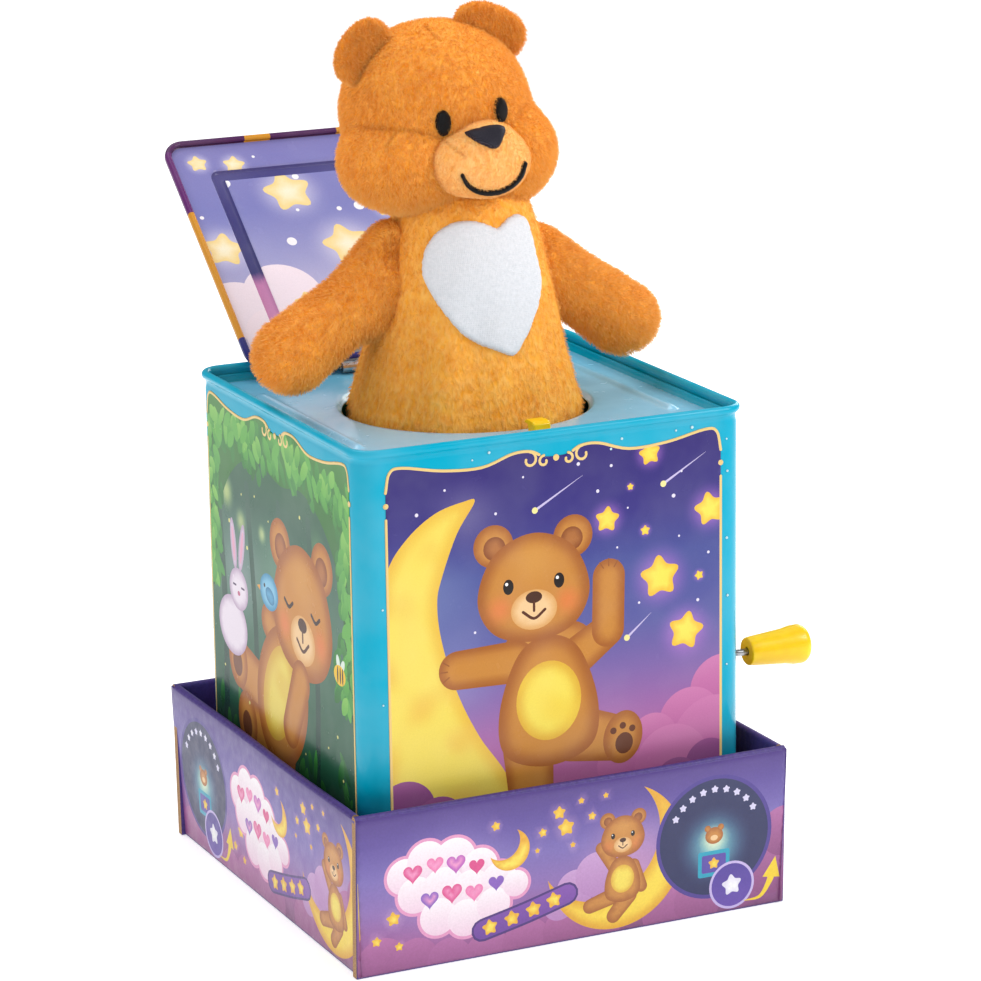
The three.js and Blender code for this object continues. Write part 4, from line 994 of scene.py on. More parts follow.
def build_tin():
    rim_radius = 1.45
    rim_z, rim_inset = TIN_TOP - rim_radius, rim_radius - RIM_OUT
    profile = [(0.5, TIN_BOTTOM), (0, TIN_BOTTOM + 0.5), (0, rim_z - 4.6), (0.25, rim_z - 3.6),
               (0.3, rim_z - 2.4)]
    profile += [(rim_inset - a, b) for a, b in arc(0, rim_z, rim_radius, -70, 215, 16)]
    profile += [(1, rim_z - 2.2), (1, TIN_BOTTOM + 0.5)]
    points, faces = band(profile, TIN_HALF, TIN_HALF, TIN_CORNER, steps=14)
    faces = [face[::-1] for face in faces]
    mesh = make_mesh("tin_shell", points, faces, [cyan_tin], sharp=50)
    add_object("tin_shell", mesh, "tin", ["tin_body"])
    front, sides = night_picture(with_bear=True), glade_picture()
    for side, picture in (("front", front), ("left", sides), ("back", night_picture(False)),
                          ("right", glade_picture())):
        def place(points, side=side):
            return on_side(side, points[:, 0], TIN_HALF + PRINT_LIFT, points[:, 1])

        picture.build(f"tin_{side}_print", place, printed_tin, "tin", "cyan_tin", 2.2, 0.12)


def stadium(x, half_length, radius, steps=8):
    reach = half_length - radius
    return np.array(arc(x, reach, radius, 0, 180, steps) + arc(x, -reach, radius, 180, 360, steps))


def build_top_plate():
    half = TIN_HALF - 1.3
    corner = TIN_CORNER - 1.3
    picture = Picture(rounded_rectangle(half, half, corner), None)
    # The plate's blue is painted lighter across the middle and darker towards the front and back edges, most at
    # the back: painted light and painted shade.
    sky = fade([(-half, "#8ed3f4"), (0, "#a2dffa"), (half, "#6fc8f0")])
    picture.backdrop(sky)
    picture.guide(rounded_rectangle(half - 2.5, half - 2.5, corner))
    ribs = [(side * (LID_HALF + 4), 44.0) for side in (-1, 1)]
    rib_radius, rib_height = 3.0, 1.3
    for x, half_length in ribs:
        for shrink in (0, 0.6, 1.2, 1.8, 2.4):
            picture.guide(stadium(x, half_length + 0.6 - shrink, rib_radius - shrink))
    lip = 2.2
    for step in range(5):
        picture.guide(ellipse(0, 0, HOLE_RADIUS + lip * step / 4, count=96))
    picture.lay(ellipse(0, 0, HOLE_RADIUS, count=96), None)
    # The latch's slot and the switch's hole.
    picture.lay([(-4.6, -58.4), (4.6, -58.4), (4.6, -51.4), (-4.6, -51.4)], None)
    picture.lay(ellipse(20, 48, 1.9, count=20), None)
    for x, y, radius, turn in ((-52, -60, 3.0, 10), (-40, -63, 2.0, -8), (50, -61, 2.6, 6)):
        picture.soft(star(x, y, radius, turn), "#f0b768", "#f7dd8a", radius * 0.5)

    def to_space(points):
        height = np.full(len(points), PLATE_TOP)
        for x, half_length in ribs:
            beyond = np.maximum(np.abs(points[:, 1]) - (half_length - rib_radius), 0)
            away = np.hypot(points[:, 0] - x, beyond) / rib_radius
            height += rib_height * smoothstep(1 - away)
        from_hole = np.hypot(points[:, 0], points[:, 1]) - HOLE_RADIUS
        height -= 1.7 * (1 - smoothstep(from_hole / lip)) ** 1.2
        return np.column_stack([points, height])

    picture.build("top_plate_sheet", to_space, plate_tin, "tin", "sky_tin", 3.0, 0.8, ["top_plate"])
    flange_top = TIN_TOP - 3.6
    profile = [(0, PLATE_TOP - 0.8), (0, flange_top), (0.45, flange_top + 0.25), (0.9, flange_top),
               (0.9, PLATE_TOP + 0.5), (1.5, PLATE_TOP + 0.05), (1.5, PLATE_TOP - 0.8)]
    points, faces = band(profile, half, half, corner, steps=12)
    mesh = make_mesh("top_plate_flange", points, [face[::-1] for face in faces], [cyan_tin], sharp=60)
    add_object("top_plate_flange", mesh, "tin")


# ---------- Lid ----------

def open_lid(points):
    """Turns points given for the shut lid to where they are at rest."""
    shifted = points - LID_PIVOT
    c, s = math.cos(-LID_OPEN), math.sin(-LID_OPEN)
    turned = np.column_stack([
        shifted[:, 0], shifted[:, 1] * c - shifted[:, 2] * s, shifted[:, 1] * s + shifted[:, 2] * c,
    ])
    return turned + LID_PIVOT


RING_OUTER, RING_INNER = 14, 20
RING_MIDDLE = (RING_OUTER + RING_INNER) / 2
RING_CORNER = 4.0


def ring_height(points, height):
    """How far the pressed ring stands out at each point of the lid."""
    from_middle = np.abs(points - (0, LID_MIDDLE_Y))
    inset = LID_HALF - np.maximum(from_middle[:, 0], from_middle[:, 1])
    corner = RING_OUTER + RING_CORNER
    reach = np.maximum(from_middle - (LID_HALF - corner), 0)
    inset = np.where((reach > 0).all(1), corner - np.hypot(reach[:, 0], reach[:, 1]), inset)
    away = np.abs(inset - RING_MIDDLE) / (RING_MIDDLE - RING_OUTER)
    return height * smoothstep((1 - away) * 1.8)


def lid_rectangle(inset, corner=8.0):
    return rounded_rectangle(LID_HALF, LID_HALF, corner, inset, (0, LID_MIDDLE_Y), steps=8)


def ring_rectangle(inset):
    return lid_rectangle(inset, RING_OUTER + RING_CORNER)


def ring_guides(picture):
    for inset in np.linspace(RING_OUTER, RING_INNER, 9):
        picture.guide(ring_rectangle(inset))


def lid_inside_picture():
    """Up is away from the hinge. A lilac sky with pale stars, white dots and clouds near the hinge."""
    hinge = LID_PIVOT[1]
    picture = Picture(lid_rectangle(1.6), None)
    sky = fade([(hinge - 105, "#8480be"), (hinge - 75, "#8486c4"), (hinge - 50, "#a3a4d4"),
                (hinge - 30, "#c6c2e4"), (hinge, "#d9cfe9")])
    stars = [(-28.4, 97, 4.0, 10), (-12.3, 82, 9.0, -6), (-45, 58, 7.4, 12), (1.9, 55, 9.2, -8),
             (-42, 99, 3.6, 0), (30, 90, 7.5, 6), (44, 62, 6.0, -10), (22, 70, 4.0, 4), (-22, 30, 5.0, 0),
             (34, 34, 6.0, 12)]
    glows = [(x, hinge - v, radius * 1.75, "#e9e4f6", 0.85) for x, v, radius, _ in stars]
    picture.backdrop(with_glows(sky, glows))
    for inset in (1.6, 2.2, 3.2, 4.6):
        picture.guide(lid_rectangle(inset))
    puffs = [(-30, 34, 15), (-48, 30, 13), (-14, 24, 14), (4, 30, 15), (24, 26, 14), (42, 32, 15),
             (-36, 16, 14), (10, 12, 16), (34, 12, 15)]
    cloud(picture, [(x, hinge - v, radius) for x, v, radius in puffs], "#f6e9f5", "#eee6f5")
    for x, v, radius, turn in stars:
        picture.rings(x, hinge - v, radius * 1.75)
        picture.soft(star(x, hinge - v, radius, 180 + turn), "#f8dc96", "#fdf6dc", radius * 0.6)
    dots = [(-34.6, 88.6, 1.9), (-7.3, 88.7, 1.3), (-11.7, 73, 0.7), (-48.5, 73.6, 0.8),
            (-37.1, 70.3, 0.9), (-18.8, 58.7, 1.9), (4.2, 71.8, 1.0), (12.2, 72.3, 2.0), (26, 98, 1.2),
            (38, 78, 1.6), (-20, 100, 0.6), (40, 100, 1.0), (12, 44, 1.0)]
    for x, v, radius in dots:
        picture.lay(ellipse(x, hinge - v, radius, count=16), "#fbfaff")
    # The channel of the pressed ring is printed darker, and pink where it crosses the clouds.
    outer, inner = (ring_rectangle(inset) for inset in (RING_OUTER + 0.6, RING_INNER - 0.6))
    channel = fade([(hinge - 105, "#56528f"), (hinge - 88, "#4e4a86"), (hinge - 46, "#43437a"),
                    (hinge - 43, "#c584b6"), (hinge, "#d59ac6")])
    picture.frame(outer, inner, channel)
    ring_guides(picture)
    return picture


def lid_outside_picture():
    """The shut lid from above: night sky, moon, stars and a gold line on each side of the ring."""
    picture = Picture(lid_rectangle(1.0), None)
    low, high = LID_MIDDLE_Y - LID_HALF, LID_MIDDLE_Y + LID_HALF
    stars = [(-30, 20, 6, 5), (26, -14, 7, -8), (34, 34, 5, 10), (-40, -36, 4, 0), (2, 38, 4, 12),
             (-8, -36, 3.4, -6)]
    glows = [(x, y, radius * 2, STAR_HALO, 0.8) for x, y, radius, _ in stars]
    sky = fade([(low, "#7a3f86"), (low + 35, "#5a4796"), (high - 20, "#45439a"), (high, "#3a3f90")])
    picture.backdrop(with_glows(sky, glows))
    picture.soft(crescent(-6, 4, 20, 30, 18, 9), "#e9bf45", "#f6df62", 4)
    for x, y, radius, turn in stars:
        picture.rings(x, y, radius * 2)
        picture.soft(star(x, y, radius, turn), "#f2b63c", "#fbe356", radius * 0.5)
    for inset in (RING_OUTER - 0.9, RING_INNER + 0.3):
        picture.frame(ring_rectangle(inset), ring_rectangle(inset + 0.7), GOLD)
    ring_guides(picture)
    return picture


def build_lid():
    inner_z = LID_TOP - 0.75

    def face(level, depth):
        """Places points of one face of the lid, at its level and with its depth of pressing."""
        return lambda points: open_lid(np.column_stack([points, level + ring_height(points, depth)]))

    lining = lid_inside_picture().build(
        "lid_inside_print", face(inner_z, 1.15), printed_tin, "lid", "night_tin", 3.0, 0.3)
    lining.modifiers["thickness"].offset = 1
    lid_outside_picture().build(
        "lid_outside_print", face(LID_TOP, 0.85), printed_tin, "lid", "night_tin", 3.0, 0.3, ["lid"])

    skirt = LID_TOP - 2.65
    bead = 1.25
    profile = [(0.9, LID_TOP + 0.05), (0.35, LID_TOP - 0.12), (0.05, LID_TOP - 0.5)]
    profile += [(bead - a, b) for a, b in arc(0, skirt + bead, bead, 20, -160, 12)]
    profile += [(1.9, inner_z - 0.25), (2.4, inner_z + 0.02), (2.4, LID_TOP - 0.35)]
    points, faces = band(profile, LID_HALF, LID_HALF, 8, (0, LID_MIDDLE_Y), steps=12, pieces=45)
    faces = [corners[::-1] for corners in faces]
    mesh = make_mesh("lid_rim", open_lid(points), faces, [printed_tin], sharp=60)
    # The print runs on over the rim: gold where it crosses the stars, blue by the hinge.
    middles = points[np.array(faces)].mean(1)
    from_hinge = LID_PIVOT[1] - middles[:, 1]
    purple, gold, blue, violet = (srgb(code) for code in ("#6a3273", "#d9962f", "#34367f", "#552a5c"))
    bands = [(from_hinge < 200, purple), (from_hinge < 76, gold), (from_hinge < 17, blue)]
    front_edge = from_hinge > 2 * LID_HALF - 3
    bands.append((front_edge, violet))
    for start, end in ((-22, -11), (16, 34)):
        bands.append((front_edge & (middles[:, 0] > start) & (middles[:, 0] < end), gold))
    colours = np.zeros((len(faces), 3))
    for chosen, colour in bands:
        colours[chosen] = colour
    paint_corners(mesh, np.repeat(colours, 4, axis=0))
    add_object("lid_rim", mesh, "lid")


# ---------- Crank and latch ----------

def tube(line, radius, sides=14):
    """Points and faces of a closed round wire along a line of points."""
    line = np.asarray(line, float)
    along = np.gradient(line, axis=0)
    along /= np.linalg.norm(along, axis=1, keepdims=True)
    side = np.cross(along[0], (0, 0, 1) if abs(along[0][2]) < 0.9 else (0, 1, 0))
    points = []
    for here, way in zip(line, along):
        side = side - way * side.dot(way)
        side /= np.linalg.norm(side)
        up = np.cross(way, side)
        for k in range(sides):
            angle = 2 * math.pi * k / sides
            points.append(here + radius * (math.cos(angle) * side + math.sin(angle) * up))
    faces = grid_faces(len(line), sides)
    faces.append(tuple(range(sides))[::-1])
    faces.append(tuple(range((len(line) - 1) * sides, len(line) * sides)))
    return points, faces


def turned(profile, middle_y, middle_z, sides=48):
    """Points and faces of a closed profile of (radius, x) turned about a line along X."""
    points = []
    for radius, x in profile:
        for angle in np.linspace(0, 2 * math.pi, sides, endpoint=False):
            points.append((x, middle_y + radius * math.cos(angle), middle_z + radius * math.sin(angle)))
    return points, grid_faces(len(profile), sides, close_rows=True)


def build_crank():
    axis_z = joints["crank_turn"]["pos_m"][2] / MM
    knob_y, knob_z = (value / MM for value in joints["knob_spin"]["pos_m"][1:])
    arm_x = bushing_high[0] + 4.8
    bend = 4.0
    corners = [np.array(p) for p in (
        (handle_low[0], 0, axis_z), (arm_x, 0, axis_z), (arm_x, knob_y, knob_z),
        (handle_high[0] - 0.4, knob_y, knob_z))]
    line = [corners[0]]
    for before, corner, after in zip(corners, corners[1:], corners[2:]):
        enter = corner + (before - corner) / np.linalg.norm(before - corner) * bend
        leave = corner + (after - corner) / np.linalg.norm(after - corner) * bend
        for t in np.linspace(0, 1, 9):
            line.append((1 - t) ** 2 * enter + 2 * t * (1 - t) * corner + t * t * leave)
    line.append(corners[-1])
    mesh = make_mesh("crank_wire", *tube(line, 1.2), [steel])
    add_object("crank_wire", mesh, "crank", ["crank_handle"])

    start, end = knob_low[0] + 1.0, knob_high[0] - 1.6
    profile = [(1.5, end - 5), (1.5, start + 0.1), (3.7, start)]
    for a in np.linspace(0.2, 1.5, 5):
        profile.append((4.4 + 0.5 * math.sin(a), start + 0.6 - 0.6 * math.cos(a)))
    profile += [(5.15, start + 2.4), (6.1, start + 14), (6.75, end - 6)]
    for a in np.linspace(-0.1, 1.5, 10):
        profile.append((6.85 * math.cos(a) ** 0.55, end - 3.4 + 3.4 * math.sin(a)))
    profile += [(0.02, end), (0.02, end - 5)]
    points, faces = turned(profile, knob_y, knob_z)
    mesh = make_mesh("knob_moulding", points, faces, [yellow_plastic], sharp=60)
    add_object("knob_moulding", mesh, "knob", ["crank_knob"])

    out = bushing_high[0]
    profile = [(1.5, bushing_low[0]), (3.1, bushing_low[0]), (3.1, TIN_HALF + 0.25), (5.2, TIN_HALF + 0.25)]
    profile += [(4.5 + a, b) for a, b in arc(0, out - 0.7, 0.7, 0, 90, 5)] + [(2.0, out), (1.5, out - 0.4)]
    points, faces = turned(profile, 0, axis_z, 40)
    mesh = make_mesh("crank_collar", points, faces, [brass], sharp=50)
    add_object("crank_collar", mesh, "tin", ["crank_bushing"])


def build_latch():
    """A moulded lever: a stem through the plate and a rounded thumb piece over it."""
    pin_y, pin_z = (value / MM for value in joints["latch_tilt"]["pos_m"][1:])
    top, half = latch_high[2], (latch_high[0] - latch_low[0]) / 2 - 0.8
    side = [(pin_y - 2.2, latch_low[2]), (pin_y + 0.6, latch_low[2]), (pin_y + 1.6, pin_z + 3),
            (pin_y + 1.6, PLATE_TOP + 1.4), (pin_y + 2.3, top - 1.4), (pin_y + 4.9, top - 1.2),
            (pin_y + 4.9, top - 0.7), (pin_y + 3.4, top - 0.1), (pin_y + 1.0, top),
            (pin_y - 1.4, top - 0.1), (pin_y - 2.7, top - 0.9), (pin_y - 3, PLATE_TOP + 0.7),
            (pin_y - 2.3, PLATE_TOP + 0.5)]
    points = []
    count = len(side)
    shift = 1.2
    shares = [(shift - half, 0.86), (shift - half + 0.45, 1.0), (shift + half - 0.45, 1.0),
              (shift + half, 0.86)]
    middle = np.mean(side, axis=0)
    for x, scale in shares:
        flatten = (scale, 1 - 0.2 * (1 - scale))
        points += [(x, *(middle + (np.array(corner) - middle) * flatten)) for corner in side]
    faces = grid_faces(len(shares), count)
    faces += [tuple(range(count))[::-1], tuple(range((len(shares) - 1) * count, len(shares) * count))]
    mesh = make_mesh("latch_moulding", points, faces, [yellow_plastic], sharp=40)
    piece = add_object("latch_moulding", mesh, "latch", ["latch_lever"])
    bevel = piece.modifiers.new("edges", "BEVEL")
    bevel.width, bevel.segments, bevel.limit_method = 0.35 * MM, 3, "ANGLE"


# ---------- Display tray ----------

TRAY_TOP = tray_high[2]
TRAY_FLARE = 1.8
TRAY_HALF = {"x": tray_high[0] - TRAY_FLARE, "y": tray_high[1] - TRAY_FLARE}
DIP_HALF, DIP_SLOPE, DIP_DEPTH = 24, 12, 14


def tray_scene(width, badge_x, shift):
    """Card print: purple sky to pink clouds, a teddy on a moon, stars, a cloud plaque and a round badge."""
    half = width / 2
    far = 1.12 * shift
    panel = rounded_rectangle(half, TRAY_TOP / 2 - 0.6, 0.5, 0, (0, TRAY_TOP / 2), steps=2)
    sky = fade([(0, "#7e4376"), (9, "#a05c99"), (22, "#8f6fb4"), (34, "#7b6cb6"), (46, "#5e4a9c"),
                (56, "#4f3685")])
    picture = Picture(panel, None)
    halo = "#e7b9d8"
    star_places = [(-6, 46, 2.2, 0), (-12, 40, 1.5, 10), (-3.5, 40.5, 2.9, 6), (6, 43, 1.4, -8),
                   (2, 49, 1.1, 0), (-1, 34, 1.0, 0), (11, 49.5, 1.0, 4), (-66, 19, 2.4, 6),
                   (-72, 12, 1.7, -6), (-64, 9, 1.5, 0), (-14, 34, 0.9, 0), (-29, 45, 1.6, 12)]
    star_places = [(x + far, z, radius, turn) for x, z, radius, turn in star_places]
    glows = [(x, z, radius * 2, halo, 0.5) for x, z, radius, _ in star_places]
    glows += [(22 + far, 24, 26, "#e6a9c8", 0.55), (-44 + shift, 28, 30, "#b7a6da", 0.45)]
    picture.backdrop(with_glows(sky, glows))
    cloud(picture, [(-70, 4, 9), (-58, 3, 8), (-46, 1, 8), (-32, 0, 9), (-18, 2, 9), (-4, 4, 8), (8, 4, 9),
                    (34, 4, 9), (46, 6, 9), (62, 12, 11), (74, 16, 12),
                    (half, 26, 9)], "#8d4a80", "#b56da6")
    cloud(picture, [(far, 18, 7), (8 + far, 22, 8), (-6 + far, 14, 6)], "#b887c0", "#caa0d2")
    moon = crescent(15 + far, 27, 25.5, 128, 22.5, 10)
    picture.soft(moon, "#e5a92c", "#fbdc4a", 4.5)
    for x, z, radius, turn in star_places:
        picture.soft(star(x, z, radius, turn), "#eeb834", "#fde862", radius * 0.5)
    size = 8.0
    bear_body(picture, 17.5 + far, 19, size, [
        ((-0.4, 0.6), (-1.0, 1.5), 0.3, 0.27), ((0.5, 0.5), (0.9, -0.5), 0.3, 0.26),
        ((-0.4, -0.7), (-1.5, -1.0), 0.38, 0.33), ((0.3, -0.8), (-0.4, -1.6), 0.38, 0.33),
    ])
    bear_head(picture, 17.5 + far, 34, size)
    # The plaque: a cloud of white puffs with a pink edge, without words.
    puffs = [(-62, 33, 6.2), (-54, 37, 7), (-44, 36, 7.5), (-35, 32, 6.5), (-58, 26, 6.4), (-48, 26, 8),
             (-38, 24, 7.5), (-28, 26, 6.5), (-50, 17, 6.5), (-40, 15, 6.5), (-30, 18, 6), (-22, 24, 4.6)]
    puffs = [(x + shift, z, radius) for x, z, radius in puffs]
    for x, z, radius in puffs:
        picture.lay(ellipse(x, z, radius + 1.1, count=36), "#e79cc6")
    cloud(picture, puffs, "#f3d3e6", "#fffafd")
    picture.soft(crescent(-24 + shift, 36, 7.2, 130, 6.4, 4.2), "#eaa92c", "#fde45a", 1.6)
    # Rows of hearts fill the plaque, and stars the ribbon under it.
    for x, z, radius, code in ((-59, 33, 3.4, "#e0508f"), (-51, 35, 3.0, "#f07fb4"),
                               (-43.5, 34, 3.4, "#c05fc0"), (-36, 32, 2.8, "#e0508f"),
                               (-53, 23, 3.2, "#8a5fc0"), (-45, 24, 3.6, "#e0508f"),
                               (-37, 23, 3.2, "#f07fb4"), (-29, 25, 2.8, "#8a5fc0")):
        picture.soft(heart(x + shift, z, 2 * radius, 1.9 * radius), code,
                     code if radius < 3 else "#f6a6cf", radius * 0.6)
    ribbon = smooth_line([(-34 + shift, 9.5), (-18 + shift, 13), (-3 + shift, 17)], 6)
    picture.lay(stroke(ribbon, 8.2), "#4c2f7c")
    picture.lay(stroke(ribbon, 6.6), fade([(4, "#6a3f9c"), (22, "#8a55b4")]))
    for x, z in ribbon[1:-1:3]:
        picture.soft(star(x, z, 2.7, 8), "#f0b330", "#fdea5e", 1.1)
    # The badge: a dark disc, an arc of stars, a small box with a teddy over it, a star sticker and an arrow.
    x, z = badge_x, 28
    picture.lay(ellipse(x, z, 22, count=60), "#4d3a92")
    disc = ellipse(x, z, 20.6, count=60)
    picture.lay(disc, with_glows(flat("#232a5c"), [(x, z - 3, 15, "#7fd8dc", 0.9),
                                                   (x, z - 1, 7, "#fdf6c8", 0.9)]))
    picture.rings(x, z - 3, 15)
    for step in range(9):
        angle = math.radians(30 + step * 15)
        picture.soft(star(x + 17 * math.cos(angle), z + 17 * math.sin(angle), 1.3, 0), "#d9d4f2",
                     "#ffffff", 0.6)
    picture.lay(rounded_rectangle(6, 4.6, 0.8, 0, (x, z - 9.5), 3), "#1fa3c0")
    picture.lay(rounded_rectangle(4.6, 3.2, 0.6, 0, (x, z - 9.5), 3), "#5a4aa8")
    picture.soft(star(x, z - 9.5, 2.0, 0), "#f0b63a", "#fbe356", 0.8)
    picture.fur(ellipse(x, z + 0.5, 3.4, 3.0), 1.4)
    for side in (-1, 1):
        picture.fur(ellipse(x + side * 2.5, z + 3.2, 1.2, count=16), 0.6)
    picture.lay(ellipse(x, z - 0.3, 1.4, 1.0, count=16), "#f4cb96")
    sticker = (x + 7, 9.6)
    picture.lay(ellipse(*sticker, 8.6, count=40), "#c9b7ea")
    picture.lay(ellipse(*sticker, 7.7, count=40), fade([(2, "#6a4cb0"), (18, "#4f3a9a")]))
    picture.soft(star(*sticker, 3.6, 6), "#e9e4f6", "#ffffff", 1.2)
    swoosh = smooth_line([(x + 12, 3.0), (x + 18, 3.6), (x + 21.5, 8.5), (x + 22.5, 12)], 6)
    picture.lay(stroke(swoosh[::-1], 3.2, taper=True), "#f6d32c")
    tip = swoosh[-1]
    picture.lay(np.array([tip + (-3.6, -1.6), tip + (1.2, 5.2), tip + (3.0, -2.6)]), "#f6d32c")
    return picture


def tray_wall_out(half, across, up):
    """How far out a tray wall's outer face is: it flares and is not quite flat."""
    sag = 0.25 * np.sin(across / 17.0) * smoothstep((up - 20) / 30)
    return half + TRAY_FLARE * up / TRAY_TOP + sag


def tray_print_place(side, points):
    """A place on the outer face of a tray wall; the print bends over the fold along the top."""
    across, up = points[:, 0], points[:, 1]
    out = tray_wall_out(TRAY_HALF["y" if side in ("front", "back") else "x"], across, up) + 0.12
    return on_side(side, across, out - 0.9 * smoothstep((up - (TRAY_TOP - 1.6)) / 1.6) ** 2, up)


def build_tray():
    """Folded card: double walls with a rounded fold along the top, raw edges showing at the corners."""
    purple_inside = Finish("purple_card", Roughness=0.5)
    fibre = purple_inside.range(purple_inside.noise(0.9, detail=4), 0.3, 0.7)
    purple_inside.set(Base_Color=purple_inside.mix(fibre, "#3d2b6e", "#4c3886"))
    flutes = purple_inside.maths("ADD", purple_inside.wave(3.6, "X"), purple_inside.wave(3.6, "Y"))
    purple_inside.bump(flutes, 0.08)
    card_inside = purple_inside.material
    wall = 3.0
    for side in ("front", "back", "left", "right"):
        across_half = TRAY_HALF["x" if side in ("front", "back") else "y"] + TRAY_FLARE
        out_half = TRAY_HALF["y" if side in ("front", "back") else "x"]
        end = across_half - (0.2 if side in ("front", "back") else wall + 0.3)
        columns = np.arange(-1, 1.0001, 1 / 40) * end
        profile = [(0, 0.2), (-TRAY_FLARE * 0.5, TRAY_TOP / 2)]
        fold = wall / 2
        profile += [(-TRAY_FLARE + fold - fold * math.cos(a),
                     TRAY_TOP - fold + fold * math.sin(a)) for a in np.linspace(0, math.pi, 9)]
        profile += [(-TRAY_FLARE + wall, TRAY_TOP - 8), (-TRAY_FLARE * 0.5 + wall, TRAY_TOP / 2),
                    (wall, 0.2)]
        inset, level = np.array(profile).T
        points = []
        for column in columns:
            dip = 0.0
            if side == "right":
                dip = DIP_DEPTH * smoothstep((DIP_HALF + DIP_SLOPE - abs(column)) / DIP_SLOPE)
            height = np.where(level < TRAY_TOP - 20, level, level - dip)
            out = tray_wall_out(out_half, column, level) - inset - TRAY_FLARE * level / TRAY_TOP
            points.append(on_side(side, column, out, height))
        points = np.vstack(points)
        count = len(profile)
        faces = grid_faces(len(columns), count)
        first, last = tuple(range(count)), tuple(range((len(columns) - 1) * count, len(columns) * count))
        faces += [first[::-1], last]
        mesh = make_mesh(f"tray_{side}_wall", points, faces, [card_inside, brown_card], sharp=50)
        for polygon in mesh.polygons[-2:]:
            polygon.material_index = 1
        add_object(f"tray_{side}_wall", mesh, "tray",
                   ["display_tray"] if side == "front" else [])
        picture = tray_scene(2 * across_half - 1.0, *((52, 0) if side in ("front", "back") else (-55, 40)))
        if side == "right":
            top = TRAY_TOP + 4
            notch = [(-DIP_HALF - DIP_SLOPE, top), (-DIP_HALF - DIP_SLOPE, TRAY_TOP),
                     (-DIP_HALF, TRAY_TOP - DIP_DEPTH)]
            picture.lay(np.array(smooth_line(notch, 1).tolist() + [(-x, z) for x, z in notch[::-1]]), None)
        picture.build(f"tray_{side}_print", lambda points, side=side: tray_print_place(side, points),
                      card_print, "tray", "printed_card", 2.4, 0.1)
    floor_half_x, floor_half_y = TRAY_HALF["x"] - 1.2, TRAY_HALF["y"] - 1.2
    outline = rounded_rectangle(floor_half_x, floor_half_y, 1.0, steps=2)
    points = [(x, y, z) for z in (tray_low[2], tray_low[2] + 1.5) for x, y in outline]
    count = len(outline)
    faces = grid_faces(2, count) + [tuple(range(count))[::-1], tuple(range(count, 2 * count))]
    mesh = make_mesh("tray_floor", points, faces, [brown_card])
    add_object("tray_floor", mesh, "tray")


# ---------- Plush bear ----------

def evaluated_mesh(obj):
    depsgraph = bpy.context.evaluated_depsgraph_get()
    return bpy.data.meshes.new_from_object(obj.evaluated_get(depsgraph))


def blob(parts, voxel=2.4, smoothing=6):
    """Ellipsoids melted into one skin; a part is (middle, radii, turn about Y, turn about X)."""
    points, faces = [], []
    rings, around = 20, 32
    for middle, radii, turn_y, turn_x in parts:
        first = len(points)
        spin = Matrix.Rotation(math.radians(turn_y), 3, "Y") @ Matrix.Rotation(math.radians(turn_x), 3, "X")
        for ring in range(1, rings):
            polar = math.pi * ring / rings
            for k in range(around):
                angle = 2 * math.pi * k / around
                local = Vector((radii[0] * math.sin(polar) * math.cos(angle),
                                radii[1] * math.sin(polar) * math.sin(angle),
                                radii[2] * math.cos(polar)))
                points.append(Vector(middle) + spin @ local)
        top, bottom = len(points), len(points) + 1
        points += [Vector(middle) + spin @ Vector((0, 0, radii[2])),
                   Vector(middle) - spin @ Vector((0, 0, radii[2]))]
        faces += [tuple(first + i for i in face[::-1]) for face in grid_faces(rings - 1, around)]
        last = first + (rings - 2) * around
        for k in range(around):
            on = (k + 1) % around
            faces += [(first + k, first + on, top), (last + on, last + k, bottom)]
    mesh = bpy.data.meshes.new("blob")
    mesh.from_pydata([(point * MM)[:] for point in points], [], faces)
    obj = bpy.data.objects.new("blob", mesh)
    bpy.context.scene.collection.objects.link(obj)
    remesh = obj.modifiers.new("skin", "REMESH")
    remesh.mode, remesh.voxel_size = "VOXEL", voxel * MM
    smooth = obj.modifiers.new("melt", "SMOOTH")
    smooth.factor, smooth.iterations = 0.6, smoothing
    skin = evaluated_mesh(obj)
    bpy.data.objects.remove(obj)
    return skin


def mesh_points(mesh, kind="co"):
    values = np.empty(len(mesh.vertices) * 3)
    mesh.vertices.foreach_get(kind, values)
    return values.reshape(-1, 3) / (MM if kind == "co" else 1)


def set_points(mesh, points):
    mesh.vertices.foreach_set("co", (points * MM).ravel())
    mesh.update()


def line_distance(points, line):
    """How far each point is from a line of points in space."""
    best = np.full(len(points), np.inf)
    for start, end in zip(line[:-1], line[1:]):
        span = end - start
        share = np.clip(((points - start) @ span) / max(span @ span, 1e-9), 0, 1)
        best = np.minimum(best, np.linalg.norm(points - start - share[:, None] * span, axis=1))
    return best


